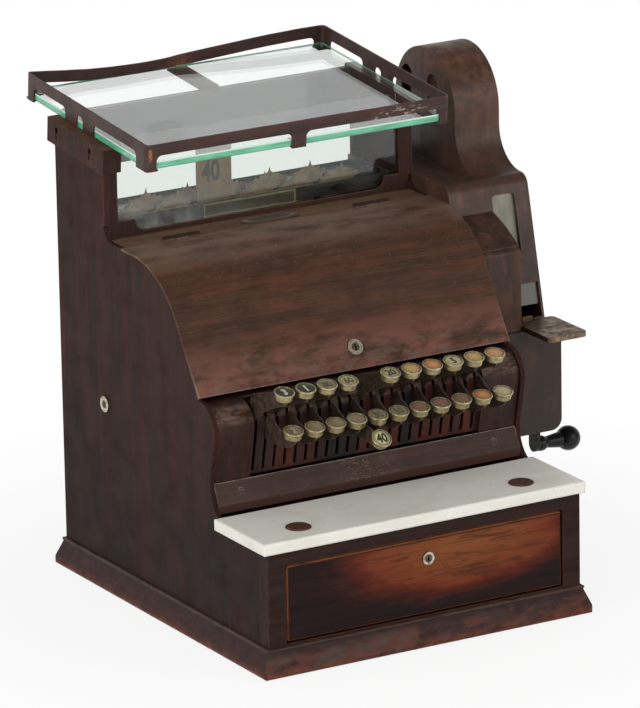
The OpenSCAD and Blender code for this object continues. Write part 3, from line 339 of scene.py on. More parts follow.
# Its foot has been kicked to orange wood. The step below the bead is painted nearly black as shade, and the
# bead's top is painted paler.
kicked = [zone(tree, "Z", 11, 2), patches(tree, (20, 20, 7), 0.34, 0.62, top=0.7, detail=6.0)]
colour = tint(tree, kicked, colour, "#7e3c26")
# Painted shade: the step below the bead is darkened in patches.
step_shade = [zone(tree, "Z", 17, 25), patches(tree, (60, 60, 8), 0.2, 0.5, top=0.8, detail=5.0)]
colour = tint(tree, step_shade, colour, "#1f0e0b")
# The bead's top is painted paler in patches.
pale_band = [zone(tree, "Z", 26, 28.5), patches(tree, (30, 30, 6), 0.25, 0.55, top=0.85, detail=5.0)]
wire(shader, {"Base Color": tint(tree, pale_band, colour, "#4a3a2f")})
give(moulding_finish, "base_moulding")


# ---- Drawer ----
# A mahogany front on a pine box. Hands that reached under the marble for a century have rubbed an
# oval of bare orange wood below the lock, fading through red stain to the dark polish.
def reaches(tree, centre, reach):
    """How far a point is from a centre, counted in a reach along each axis, both in millimetres.

    An axis with an infinite reach isn't counted."""
    place = add(tree, "TexCoord")
    shifted = add(tree, "VectorMath", {"Vector": place.outputs["Object"], "Vector_001": Vector(centre) * MM},
                  operation="SUBTRACT")
    scaled = add(tree, "VectorMath", {"Vector": shifted, "Vector_001": [1 / (r * MM) for r in reach]},
                 operation="MULTIPLY")
    return add(tree, "VectorMath", {"Vector": scaled}, operation="LENGTH").outputs["Value"]


def border(tree, middle, half, inner, outer):
    """A share that rises at the margin of an oblong face, and each point's place from its middle.

    The face looks along Y. The share rises from inner to outer millimetres off the edge. All values are
    pairs, for X and for Z."""
    place = add(tree, "TexCoord")
    centre = Vector((middle[0], 0, middle[1])) * MM
    place = add(tree, "VectorMath", {"Vector": place.outputs["Object"], "Vector_001": centre},
                operation="SUBTRACT")
    place = add(tree, "VectorMath", {"Vector": place}, operation="ABSOLUTE")
    place = add(tree, "SeparateXYZ", {"Vector": place})
    sides = [add(tree, "MapRange", {"Value": place.outputs["XZ"[i]], "From Min": (half[i] - inner[i]) * MM,
                                    "From Max": (half[i] - outer[i]) * MM}) for i in (0, 1)]
    return add(tree, "Math", {"Value": sides[0], "Value_001": sides[1]}, operation="MAXIMUM"), place


drawer_finish, tree, shader, colour = polished_mahogany(
    "rubbed_mahogany_drawer", "X", "#271817", "#1a1011", "#8a4e2c", radius=2.2, gloss=0.4, level=0.08,
    broken=(14, 0.28, 0.46))
ragged = patches(tree, (40, 34, 14), 0.0, 1.0, top=0.42, detail=4.0)
oval = reaches(tree, (42, 0, 102), (143, inf, 52))
oval = add(tree, "Math", {"Value": ragged, "Value_001": oval}, operation="ADD")
bare = add(tree, "MapRange", {"Value": oval, "From Min": 0.24, "From Max": 1.62})
bare = add(tree, "ValToRGB", {"Fac": bare}, stops=[(0.0, "#7c4827"), (0.32, "#764024"), (0.54, "#6f3420"),
                                                   (0.64, "#4f1d15"), (0.78, "#291716")])
flame = patches(tree, (70, 4, 3.4), 0.50, 0.68, top=0.75, detail=5.0, twist=0.6)
wood = tint(tree, flame, bare, "#4d2818")
streak = patches(tree, (46, 8, 7), 0.53, 0.64, top=0.7, detail=6.0, twist=0.8)
wood = tint(tree, streak, wood, "#43241a")
inside = add(tree, "MapRange", {"Value": oval, "From Min": 1.45, "From Max": 1.15})
colour = tint(tree, [inside, facing(tree, (0, -1, 0), 0.9, 0.99)], colour, wood)
# The front's arrises are rubbed to bare wood all round.
front_low, front_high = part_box("drawer_front")
middle = (front_low + front_high) / 2 / MM
half = (front_high - front_low) / 2 / MM
rim = border(tree, (middle.x, middle.z), (half.x, half.z), (2.0, 2.0), (0.7, 0.8))[0]
rubbed = patches(tree, (30, 9, 30), 0.22, 0.5, top=0.9, detail=5.0)
wire(shader, {"Base Color": tint(tree, [rim, rubbed], colour, "#8f5230")})
give(drawer_finish, "drawer_front")
pine = polished_mahogany("bare_pine_box", "Y", "#8a6a48", "#6d4f33", "#9a7a55", radius=1.5, gloss=0.6)[0]
give(pine, "drawer_box")

# ---- Marble sill ----
# White marble, sawn and honed, where coins were counted. Its arris is polished by use, and it has
# faint grey clouds and small dark pits. Two bolts hold it, under rusty domed caps.
marble_finish, tree, shader = new_finish("honed_white_marble")
clouds = patches(tree, (90, 60, 60), 0.42, 0.72, top=0.6, detail=7.0, twist=1.4)
pits = [patches(tree, 1.5, 0.71, 0.75, detail=1.0), patches(tree, 30, 0.52, 0.60, detail=1.0)]
colour = tint(tree, pits, tint(tree, clouds, "#ece9e0", "#dad3c6"), "#4a3b30")
wire(shader, {"Base Color": colour, "Roughness": 0.36, "Specular IOR Level": 0.25, "Subsurface Weight": 0.12,
              "Subsurface Radius": (0.004, 0.0035, 0.003), "Subsurface Scale": 1.0})
relief(tree, shader, clouds, 0.03, 1.8)
give(marble_finish, "marble_sill")


def rusty_steel(name, ground, rust, gloss, metal=0.6, level=0.3):
    """Steel that has browned evenly, with darker spots of old rust."""
    finish, tree, shader = new_finish(name)
    spots = patches(tree, 3.5, 0.40, 0.64, detail=6.0, grit=0.7)
    rough = add(tree, "MapRange", {"Value": spots, "To Min": gloss, "To Max": gloss + 0.25})
    wire(shader, {"Base Color": tint(tree, spots, ground, rust), "Metallic": metal,
                  "Specular IOR Level": level, "Roughness": rough})
    relief(tree, shader, spots, 0.06, 0.3)
    return finish


give(rusty_steel("browned_steel_caps", "#634338", "#422a22", 0.55, metal=0.2), "marble_caps")

# ---- Keyboard cover and ledge strip ----
# Two pressings in the same grained enamel, darker where the levers pass through. The crest of the nose is
# worn and carries a painted grey highlight, and the strip's upper fold is scratched bare and carries a
# painted highlight.
cover_finish, tree, shader, colour = grained_enamel(
    "grained_enamel_cover", "Z", "#36231e", "#231815", "#48281f", "#6f4a3e", gloss=0.42, level=0.16,
    wear=0.8, band=(10, 120), mottle=0.4)
# Each rib between two slots was grained by itself, some redder and some nearly black.
key_pitch = 12.7
place = add(tree, "TexCoord")
rib = add(tree, "SeparateXYZ", {"Vector": place.outputs["Object"]})
rib = add(tree, "Math", {"Value": rib.outputs["X"], "Value_001": 1 / (key_pitch * MM), "Value_002": 0.5},
          operation="MULTIPLY_ADD")
rib = add(tree, "Math", {"Value": rib}, operation="FLOOR")
rib = add(tree, "TexWhiteNoise", {"W": rib}, noise_dimensions="1D")
rib = add(tree, "ValToRGB", {"Fac": rib.outputs["Value"]},
          stops=[(0.0, "#2a2422"), (0.3, "#3a2724"), (0.5, "#3f2a26"), (0.7, "#5a2c22"), (1.0, "#4a2a24")])
slotted = add(tree, "Math", {"Value": zone(tree, "X", -141, -139), "Value_001": zone(tree, "X", 141, 139)},
              operation="MULTIPLY")
rib = tint(tree, patches(tree, (2, 2, 40), 0.46, 0.66, top=0.6), rib, "#241c1a")
colour = tint(tree, [slotted, zone(tree, "Z", 254, 236)], colour, rib)
# Painted highlight: the crest that faces up and forward is made grey, in worn patches.
crest_highlight = facing(tree, (0, -0.75, 0.66), 0.86, 1.0)
worn_highlight_patches = patches(tree, (22, 8, 8), 0.42, 0.66, top=0.75, detail=6.0, grit=0.7)
wire(shader, {"Base Color": tint(tree, [worn_highlight_patches, crest_highlight], colour, "#8a7062")})
give(cover_finish, "keyboard_cover")

strip_finish, tree, shader, colour = grained_enamel(
    "grained_enamel_strip", "X", "#46332c", "#30231e", "#4c2f27", "#96897e", gloss=0.42, level=0.2,
    wear=1.0, band=(7, 160), mottle=0.4)
# Rings and cuffs have scratched the middle of the strip through to bright primer.
scratch = patches(tree, (9, 1.6, 1.6), 0.60, 0.66, detail=2.0, twist=2.0)
centre = add(tree, "Math", {"Value": zone(tree, "X", -50, -25), "Value_001": zone(tree, "X", 45, 10)},
             operation="MULTIPLY")
colour = tint(tree, [scratch, centre], colour, "#8d6a54")
# Painted shade: the skirt, facing front and a little down, is darker.
colour = tint(tree, facing(tree, (0, -1, -0.1), 0.8, 0.98), colour, "#3d241d")
# The upper fold is scratched pale in patches and carries a painted highlight along its arris.
fold_highlight_and_scratches = [edge_share(tree, 2.4, 0.95, 0.995), zone(tree, "Z", 165, 170),
        patches(tree, (9, 3, 3), 0.36, 0.58, top=0.9, detail=6.0, grit=0.7)]
wire(shader, {"Base Color": tint(tree, fold_highlight_and_scratches, colour, "#8f8277")})
give(strip_finish, "ledge_strip")

# ---- Lid and hinge ----
# One sheet, rolled to a quarter round and grained from side to side. The slope over the keys was
# rubbed through the varnish to pink primer, with a grey haze, and grit has scratched the top.
lid_finish, tree, shader, colour = grained_enamel(
    "grained_enamel_lid", "X", "#523a2d", "#37281f", "#5f3a2b", "#8a6653", gloss=0.48, level=0.1,
    wear=0.8, band=(13, 150), mottle=0.5, streaks=0.5)
smear = patches(tree, (60, 12, 12), 0.56, 0.70, top=0.45, detail=7.0, twist=0.4)
colour = tint(tree, smear, colour, "#2a211d")
primer = [patches(tree, (44, 18, 18), 0.38, 0.56, top=0.75, detail=7.0), zone(tree, "Z", 318, 274)]
colour = tint(tree, primer, colour, "#85584c")
haze = [patches(tree, (30, 12, 12), 0.50, 0.60, top=0.7, detail=7.0), zone(tree, "Z", 300, 266)]
colour = tint(tree, haze, colour, "#6d5b52")
smudge = [patches(tree, (16, 10, 10), 0.52, 0.62, top=0.6, detail=7.0, grit=0.7), zone(tree, "Z", 312, 282)]
colour = tint(tree, smudge, colour, "#473630")
scuffed = [edge_share(tree, 3.0, 0.80, 0.99), patches(tree, 6, 0.36, 0.56, top=0.8, detail=6.0, grit=0.7),
           zone(tree, "Z", 300, 272)]
colour = tint(tree, scuffed, colour, "#9a8478")
# A paler band near the hinge: partly dust, partly a painted highlight.
pale_band = [patches(tree, (60, 20, 20), 0.30, 0.56, top=0.7, detail=6.0), zone(tree, "Z", 374, 388)]
colour = tint(tree, pale_band, colour, "#80695a")
chips = [patches(tree, (2.6, 1.6, 1.6), 0.755, 0.79, detail=1.0), zone(tree, "Z", 330, 384)]
colour = tint(tree, chips, colour, "#b3a494")
rust = [patches(tree, (16, 12, 12), 0.66, 0.74, top=0.7, detail=4.0), patches(tree, 2.4, 0.48, 0.56)]
colour = tint(tree, rust, colour, "#8f5536")
# The hinge's knuckles stand above both sheets, with the paint rubbed off to dark steel.
above_sheet = (389.6, 390.4)
wire(shader, {"Base Color": tint(tree, zone(tree, "Z", *above_sheet), colour, "#33261f")})
give(lid_finish, "lid")
sill_finish, tree, shader, colour = grained_enamel(
    "grained_enamel_sill", "X", "#765c48", "#564133", "#6b4a37", "#5b4535", gloss=0.56, level=0.08,
    wear=0.8, band=(9, 120), mottle=0.45)
wire(shader, {"Base Color": tint(tree, zone(tree, "Z", *above_sheet), colour, "#33261f")})
give(sill_finish, "hinge_strip")


# ---- Locks ----
# Turned nickel-silver barrels with a plug each, polished when new and now yellow and spotted. Each is
# pushed into its hole from the front and held by a nut behind.
def worn_metal(name, bright, tarnish, gloss, cell=4.0, metal=1.0, corner_shade="#1d1712", hide=0.8):
    """Plated metal under patchy tarnish, with painted shade darkening its corners."""
    finish, tree, shader = new_finish(name)
    patch = patches(tree, cell, 0.38, 0.64, detail=6.0)
    colour = tint(tree, patch, bright, tarnish)
    # Painted shade: the corners and recesses, found by ambient occlusion, are darkened.
    corner = add(tree, "AmbientOcclusion", {"Distance": 4 * MM}, samples=6)
    shaded_corners = add(tree, "MapRange", {"Value": corner.outputs["AO"], "From Min": 0.85, "From Max": 0.35,
                                  "To Max": hide})
    rough = add(tree, "MapRange", {"Value": patch, "To Min": gloss, "To Max": gloss + 0.22})
    wire(shader, {"Base Color": tint(tree, shaded_corners, colour, corner_shade), "Metallic": metal, "Roughness": rough})
    relief(tree, shader, patch, 0.03, 0.3)
    return finish


lock_finish = worn_metal("polished_nickel_silver", "#cfc7b4", "#8b806c", gloss=0.2)
plug_finish = worn_metal("dull_brass_plug", "#6e6452", "#352e25", gloss=0.4, cell=2.0)
give(lock_finish, "lid_lock", "side_lock", "drawer_lock")
give(plug_finish, "lid_lock_plug", "side_lock_plug", "drawer_lock_plug")

# ---- Works ----
# Cast-iron side frames, black japanned, that stand on the case's floor and carry everything that
# turns, with turned steel shafts that are oily brown with age.
give(rusty_steel("japanned_iron", "#2b2826", "#191513", 0.45, metal=0.2), "works_frame")
give(rusty_steel("oiled_steel_shaft", "#6c655c", "#3c3229", 0.34, metal=0.9), "key_shaft", "main_shaft")

# ---- Flag window ----
# Thin drawn-glass panes in the steel frame, dusty at the foot of the front one, over a black painted
# trough that the flags stand in.
glass_finish, tree, shader = new_finish("drawn_window_glass")
dust = [patches(tree, (16, 9, 24), 0.30, 0.72, top=0.34, detail=6.0), zone(tree, "Z", 430, 392),
        zone(tree, "Y", 160, 150), zone(tree, "X", 0, -150)]
wave = add(tree, "Bump", {"Height": patches(tree, 60, 0.2, 0.8, detail=1.0), "Distance": 0.05 * MM,
                          "Strength": 1.0})
wire(shader, {"Base Color": tint(tree, dust, "#f3f7f4", "#7c7161"),
              "Transmission Weight": tint(tree, dust, "#ffffff", "#000000"),
              "Roughness": 0.0, "IOR": 1.5, "Normal": wave})
give(glass_finish, "window_glass")

trough_finish, tree, shader = new_finish("black_trough_paint")
film = patches(tree, (40, 12, 12), 0.36, 0.66, detail=5.0)
worn_edge = [edge_share(tree, 0.8, 0.72, 0.97), zone(tree, "Y", 200, 212)]
colour = tint(tree, worn_edge, tint(tree, film, "#191a16", "#282822"), "#4a5560")
rough = add(tree, "MapRange", {"Value": film, "To Min": 0.22, "To Max": 0.42})
wire(shader, {"Base Color": colour, "Roughness": rough, "Specular IOR Level": 0.35})
relief(tree, shader, film, 0.02, 0.4)
give(trough_finish, "flag_trough")

# The long plate is etched brass, its field blackened inside a pale beaded border. The oval one on the
# sill is the same, with a thin raised line.
plate_finish, tree, shader = new_finish("etched_brass_plate")
edge_band, place = border(tree, (-9.1, 399.5), (56.6, 7.5), (2.6, 2.2), (1.8, 1.6))
bead_pitch = 2.4 * MM
bead = add(tree, "Math", {"Value": place.outputs["X"], "Value_001": 2 * pi / bead_pitch},
           operation="MULTIPLY")
bead = add(tree, "Math", {"Value": bead}, operation="COSINE")
bead = add(tree, "MapRange", {"Value": bead, "From Min": -0.4, "From Max": 0.6, "To Min": 0.45})
field = tint(tree, patches(tree, 7, 0.40, 0.62, detail=6.0), "#47452f", "#2c2c20")
colour = tint(tree, [edge_band, bead], field, "#a39a70")
oval = reaches(tree, (0, 95, 393), (35, 11, inf))
line = [add(tree, "MapRange", {"Value": oval, "From Min": start, "From Max": end})
        for start, end in ((0.74, 0.78), (0.93, 0.89))]
on_sill = zone(tree, "Y", 110, 108)
colour = tint(tree, on_sill, colour, "#4a3a2f")
colour = tint(tree, [on_sill, *line], colour, "#8a7866")
colour = tint(tree, patches(tree, 5, 0.55, 0.70, top=0.6, detail=5.0), colour, "#66604a")
wire(shader, {"Base Color": colour, "Metallic": 0.6, "Roughness": 0.45})
relief(tree, shader, edge_band, 0.2, 0.3)
give(plate_finish, "nameplates")


# Price flags: buff card, foxed and soft at its edges, cut at the top to a small spire. The one that is
# up carries its price in grey figures. The others stand in the trough, four rows deep.
def aged_card(name, ground, dark):
    """Printed card."""
    finish, tree, shader = new_finish(name)
    fox = patches(tree, 9, 0.42, 0.68, detail=6.0, grit=0.7)
    wire(shader, {"Base Color": tint(tree, fox, ground, dark), "Roughness": 0.8, "Specular IOR Level": 0.1})
    relief(tree, shader, patches(tree, 0.7, 0.2, 0.8, detail=3.0), 0.05, 0.2)
    return finish


def new_piece(name, shape, body, slot, *finishes, place=None):
    """A piece made from a bmesh, put in place, riding on a CAD body, with its finishes in slot order."""
    mesh = bpy.data.meshes.new(name)
    shape.to_mesh(mesh)
    shape.free()
    for finish in finishes:
        mesh.materials.append(finish)
    piece = bpy.data.objects.new(name, mesh)
    if place is not None:
        piece.matrix_world = place
    bpy.context.scene.collection.objects.link(piece)
    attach(piece, body)
    return piece


def figures(text, tall, weight, squeeze):
    """Plain figures as a flat mesh, tall millimetres high, middled on the origin in the XY plane."""
    line = bpy.data.curves.new("figures", "FONT")
    line.body = text
    line.align_x = "CENTER"
    line.offset = weight
    line.resolution_u = 4
    drawn = bpy.data.objects.new("figures", line)
    bpy.context.scene.collection.objects.link(drawn)
    bpy.context.view_layer.update()
    flat = bmesh.new()
    flat.from_mesh(drawn.to_mesh())
    drawn.to_mesh_clear()
    bpy.data.objects.remove(drawn)
    bpy.data.curves.remove(line)
    low = Vector((min(v.co.x for v in flat.verts), min(v.co.y for v in flat.verts)))
    high = Vector((max(v.co.x for v in flat.verts), max(v.co.y for v in flat.verts)))
    middle = (low + high) / 2
    size = tall * MM / (high.y - low.y)
    for v in flat.verts:
        v.co = Vector(((v.co.x - middle.x) * size * squeeze, (v.co.y - middle.y) * size, 0))
    return flat


card_finish = aged_card("foxed_flag_card", "#9c8160", "#7c6345")
give(card_finish, "raised_flag")
grey_ink = aged_card("faded_grey_ink", "#4a443c", "#5d5447")
flag_low, flag_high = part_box("raised_flag")
price = figures("40", tall=24, weight=0.035, squeeze=0.7)
bmesh.ops.rotate(price, cent=(0, 0, 0), matrix=Matrix.Rotation(pi / 2, 3, "X"), verts=price.verts[:])
# The ink lies just proud of the card, a little left of its middle.
price_x = (flag_low.x + flag_high.x) / 2 - 4 * MM
price_spot = Matrix.Translation((price_x, flag_low.y - 0.12 * MM, flag_high.z - 24.5 * MM))
new_piece("raised_flag_price", price, "raised_flag", "flag_card", grey_ink, place=price_spot)

spire = [(-21, -30), (-21, -9.5), (-17.5, -7), (-14, -8.4), (-10.5, -5.2), (-7, -5.8), (-4.2, -3),
         (-2.4, -3.2), (-0.9, -0.6), (0, 3.2), (0.9, -0.6), (2.4, -3.2), (4.2, -3), (7.4, -6), (10.8, -4.8),
         (14.2, -8.2), (17.2, -7.4), (21, -10), (21, -30)]
flag_count, raised_flag_number = 22, 8
rows_deep, row_pitch, card_thick = 4, 12, 0.9
middle_slot = (flag_count - 1) / 2
flag_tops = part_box("lowered_flags")[1].z
lowered = bmesh.new()
for i in range(flag_count):
    if i == raised_flag_number:
        continue
    across = (i - middle_slot) * key_pitch
    row = i % rows_deep - raised_flag_number % rows_deep
    foot = flag_tops + (1.6 + 0.9 * sin(5.1 * i)) * MM
    # No two cards are cut or bent alike.
    outline = [(x * 0.98, z * (1 + 0.12 * sin(2.3 * i + x))) for x, z in spire]
    ring = [lowered.verts.new(((across + x) * MM, flag_low.y + row * row_pitch * MM, foot + z * MM))
            for x, z in outline]
    back = bmesh.ops.extrude_face_region(lowered, geom=[lowered.faces.new(ring)])
    moved = [v for v in back["geom"] if isinstance(v, bmesh.types.BMVert)]
    bmesh.ops.translate(lowered, vec=(0, card_thick * MM, 0), verts=moved)
bmesh.ops.recalc_face_normals(lowered, faces=lowered.faces[:])
pale_card = aged_card("dusty_flag_card", "#b29a7a", "#8d7353")
flags = new_piece("lowered_flag_cards", lowered, "cabinet", "flag_card", pale_card)
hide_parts("lowered_flags")

# ---- Shelf ----
# A plate of glass, 8 mm thick, that slopes a little to the front and lies loose in its gallery. It is
# ground at the edge and shows green where it is looked through endwise.
shelf_finish, tree, shader = new_finish("plate_glass_shelf")
wire(shader, {"Base Color": "#f7faf9", "Transmission Weight": 1.0, "Roughness": 0.0, "IOR": 1.52})
soak = add(tree, "VolumeAbsorption", {"Color": "#9fe4c6", "Density": 3.0})
wire(next(n for n in tree.nodes if n.type == "OUTPUT_MATERIAL"), {"Volume": soak})

edge_finish, tree, shader = new_finish("ground_glass_edge")
colour = tint(tree, patches(tree, (30, 30, 3), 0.35, 0.65, detail=4.0), "#74c79f", "#4fa37f")
# The ground face has a painted highlight along its upper arris and is painted darkest below.
slope = radians(5)
pivot = Vector((0, 116.25, 490.5)) * MM
shelf_up = Vector((0, -sin(slope), cos(slope)))
underside = shelf_up.dot(pivot)
place = add(tree, "TexCoord")
upright = add(tree, "VectorMath", {"Vector": place.outputs["Object"], "Vector_001": shelf_up},
              operation="DOT_PRODUCT").outputs["Value"]
for start, end, shade in ((6.2, 7.0, "#cfeadd"), (1.6, 0.2, "#2f7458")):
    strip = add(tree, "MapRange", {"Value": upright, "From Min": underside + start * MM,
                                   "From Max": underside + end * MM})
    colour = tint(tree, strip, colour, shade)
wire(shader, {"Base Color": colour, "Roughness": 0.3, "Specular IOR Level": 0.5, "Coat Weight": 0.5})
relief(tree, shader, patches(tree, (12, 12, 2), 0.3, 0.7), 0.05, 0.5)
give(shelf_finish, "shelf_glass")
glass = node["shelf_glass"].data
glass.materials.append(edge_finish)
for face in glass.polygons:
    face.material_index = 1 if abs(shelf_up.dot(face.normal)) < 0.5 else 0

# The gallery is a steel strip with arched openings, bent round the glass, and its brown paint is thick,
# rounded and chipped. Something heavy has pushed the rear rail down and in, between two of its feet.
rail_finish, tree, shader, colour = grained_enamel(
    "thick_brown_enamel", "X", "#43312c", "#2f2320", "#4f2e27", "#7a4a36", gloss=0.42, level=0.25,
    wear=0.7, band=(9, 90), mottle=0.4)
# Three hurts in its paint: rust at the kink and on the front left corner, and bare primer at the right.
for centre, reach, start, end, chipped, shade in (
    ((2, 288, 520), (1, 1, 1), 18, 6, patches(tree, 3, 0.42, 0.55, detail=5.0), "#70452e"),
    ((122, 24, 493), (1, 1, 1 / 2.4), 45, 20, patches(tree, (9, 4, 3), 0.56, 0.60, detail=5.0, grit=0.7),
     "#b5aca2"),
    ((-179.5, 25.4, 499), (1, 1, 1 / 0.28), 2.6, 1.4, patches(tree, 1.6, 0.38, 0.52), "#a8683f"),
):
    near = add(tree, "MapRange", {"Value": reaches(tree, centre, reach), "From Min": start, "From Max": end})
    colour = tint(tree, [near, chipped], colour, shade)
wire(shader, {"Base Color": colour})

rail = bmesh.new()
rail.from_mesh(node["gallery_rail"].data)
bmesh.ops.remove_doubles(rail, verts=rail.verts[:], dist=1e-6)
bmesh.ops.dissolve_limit(rail, angle_limit=radians(2), verts=rail.verts[:], edges=rail.edges[:])
rail_low, rail_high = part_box("gallery_rail")
lengths = 46
for i in range(1, lengths):
    cut = rail_low.x + (rail_high.x - rail_low.x) * i / lengths
    bmesh.ops.bisect_plane(rail, geom=rail.verts[:] + rail.edges[:] + rail.faces[:], plane_co=(cut, 0, 0),
                           plane_no=(1, 0, 0))
# How far the rear rail is pushed down at each place across, in millimetres.
dips = [(-184, 0), (-160, -2.5), (-135, -5.6), (-112, -7.4), (-80, -8.2), (-42, -8.6), (-12, -8.4), (4, -7.4),
        (20, -6.2), (58, -4.2), (90, -2.2), (114, -1.1), (150, 0), (184, 0)]


def dip_at(x):
    """The dip at x, straight between the places above."""
    for (x0, d0), (x1, d1) in zip(dips, dips[1:]):
        if x <= x1:
            return d0 + (d1 - d0) * max(0, (x - x0) / (x1 - x0))
    return 0


# The dent grows from the rear corner of each side to the rear rail, and from the glass up the feet. It
# is pushed in most a little left of the middle. The strip was never quite straight, and ripples.
tilt = Matrix.Rotation(slope, 3, "X")
rear_from, rear_depth = 150, 24
foot_from, foot_rise = 1, 14
push_middle, push_half, push_in = -60, 62, 4.2
ripple_high, ripple_long, ripple_seed = 0.7, 1 / 0.021, 3
for v in rail.verts:
    flat = tilt.inverted() @ (v.co - pivot) / MM
    back = min(1, max(0, (flat.y - rear_from) / rear_depth))
    rise = min(1, max(0, (flat.z - foot_from) / foot_rise))
    flat.y -= push_in * back * rise * max(0, 1 - ((flat.x - push_middle) / push_half) ** 2)
    spot = Vector((flat.x / ripple_long, flat.y / ripple_long, ripple_seed))
    ripple = ripple_high * noise.noise(spot)
    flat.z += (dip_at(flat.x) * back + ripple) * rise
    v.co = pivot + tilt @ flat * MM
    v.co.z = min(v.co.z, rail_high.z)
gallery = new_piece("dented_gallery_rail", rail, "cabinet", "rail_paint", rail_finish)
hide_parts("gallery_rail")
softened = gallery.modifiers.new("rolled_edges", "BEVEL")
softened.width = 0.7 * MM
softened.segments = 3
softened.limit_method = "ANGLE"
softened.angle_limit = radians(40)
softened.harden_normals = False
for face in gallery.data.polygons:
    face.use_smooth = True
gallery.data.set_sharp_from_angle(angle=radians(35))

# ---- Printer ----
# Folded steel case in the same enamel, mottled by damp, with a curved cover over the ribbon, a
# pale celluloid window and a nickelled tray for the receipt.
printer_finish, tree, shader, colour = grained_enamel(
    "grained_enamel_printer", "Z", "#50362b", "#35261e", "#64402f", "#7d4630", gloss=0.38, level=0.3,
    wear=1.0, band=(16, 70), mottle=0.6)
faded = [zone(tree, "Z", 440, 520), patches(tree, 12, 0.42, 0.66, top=0.5, detail=6.0)]
colour = tint(tree, faded, colour, "#7d5440")
# Painted shadow: the front below the tray is darkened in patches.
tray_shadow = [facing(tree, (0, -1, 0), 0.5, 0.9), zone(tree, "Z", 280, 250), patches(tree, 30, 0.1, 0.5, top=0.8)]
colour = tint(tree, tray_shadow, colour, "#2c211c")
damp = [zone(tree, "Z", 452, 430), zone(tree, "Z", 262, 300), patches(tree, 20, 0.3, 0.6, top=0.5)]
wire(shader, {"Base Color": tint(tree, damp, colour, "#42302a")})
give(printer_finish, "printer_case")
ribbon_finish = grained_enamel(
    "grained_enamel_ribbon_cover", "Z", "#432f27", "#2f231c", "#5e3c2d", "#8a6350", gloss=0.4, level=0.25,
    wear=0.8, band=(12, 60), mottle=0.5)[0]
give(ribbon_finish, "ribbon_cover")

window_plate, tree, shader = new_finish("yellowed_celluloid")
stain = patches(tree, (10, 10, 26), 0.36, 0.66, detail=6.0)
colour = tint(tree, stain, "#8b8670", "#6d6a58")
colour = tint(tree, zone(tree, "X", 262, 272), colour, "#4d4a40")
colour = tint(tree, zone(tree, "Z", 300, 288), colour, "#63665c")
wire(shader, {"Base Color": colour, "Roughness": 0.3, "Specular IOR Level": 0.4})
relief(tree, shader, stain, 0.02, 0.3)
give(window_plate, "paper_window")
give(worn_metal("worn_nickel_tray", "#8a755e", "#5f4f40", gloss=0.4, cell=8.0), "receipt_tray")
# The paper roll is browned with age and painted darker still, as shade inside the case.
give(aged_card("browned_and_shaded_receipt_paper", "#6b5847", "#4a3a2e"), "paper_roll")

# ---- Crank ----
# A forged steel arm, pinned to the end of the main shaft, with a handle that spins on its spindle,
# turned from ebonised wood and lacquered black.
give(rusty_steel("blued_steel_arm", "#3c3a38", "#201c1a", 0.3, metal=0.8), "crank_arm")
knob_finish, tree, shader = new_finish("black_lacquered_handle")
smudge = patches(tree, 7, 0.3, 0.7)
rough = add(tree, "MapRange", {"Value": smudge, "To Min": 0.2, "To Max": 0.38})
wire(shader, {"Base Color": tint(tree, smudge, "#0c0b0b", "#171515"), "Roughness": rough,
              "Specular IOR Level": 0.25})
relief(tree, shader, smudge, 0.02, 0.4)
give(knob_finish, "crank_knob")

# ---- Keys ----
# Each key is a steel fin, browned and oily, with a drawn brass cup at its end that was nickelled and
# has worn back to brass on its rim. The rim is also painted paler, as a highlight.
cup_finish = worn_metal("worn_nickel_cup", "#a99c76", "#7a6d4b", gloss=0.3, cell=5.0, metal=0.75,
                        corner_shade="#2f271c", hide=0.7)
# The rim that faces up gets a paler copy of the cup's metal: polish, and a painted highlight.
polished_highlighted_rim_finish = worn_metal("polished_highlighted_nickel_rim", "#cdc39d", "#a3966f", gloss=0.24, metal=0.8, corner_shade="#4a4029",
                        hide=0.5)
fin_finish, tree, shader = new_finish("browned_steel_fin")
film = patches(tree, 6, 0.38, 0.66, detail=6.0)
# The fins' edges are pale in patches: bare steel where worn, and a painted highlight.
bright = [edge_share(tree, 0.9, 0.72, 0.97), patches(tree, 8, 0.36, 0.56, top=0.8)]
colour = tint(tree, bright, tint(tree, film, "#554438", "#2f2621"), "#a0917c")
wire(shader, {"Base Color": colour, "Metallic": 0.3, "Roughness": 0.42})
relief(tree, shader, film, 0.04, 0.3)


# The face is a printed card disc under a clear celluloid dome. The cards have faded each in its own
# way: the oldest are black, some cream, others orange or tan.
def printed_face(name, middle, margin, stain, ring=None):
    """A card disc under celluloid, its colour running from the middle out to the margin."""
    finish, tree, shader = new_finish(name)
    out = reaches(tree, (0, 0, 0), (1, 1, inf))
    wash = patches(tree, 5, 0.0, 1.0, top=5.0, detail=5.0)
    washed = add(tree, "Math", {"Value": out, "Value_001": wash}, operation="ADD")
    washed = add(tree, "MapRange", {"Value": washed, "From Min": 5.2, "From Max": 9.6})
    colour = tint(tree, washed, middle, margin)
    colour = tint(tree, patches(tree, 3, 0.48, 0.66, top=0.5, detail=5.0), colour, stain)
    if ring:
        line = [add(tree, "MapRange", {"Value": out, "From Min": start, "From Max": end})
                for start, end in ((7.1, 7.5), (8.2, 7.9))]
        colour = tint(tree, line, colour, ring)
    # Painted shadow: a dark ring at the margin, where the cap's rim shades the card.
    rim = add(tree, "MapRange", {"Value": out, "From Min": 8.5, "From Max": 9.0})
    wire(shader, {"Base Color": tint(tree, rim, colour, "#332c1e"), "Roughness": 0.5,
                  "Specular IOR Level": 0.2, "Coat Weight": 0.5, "Coat Roughness": 0.12})
    return finish


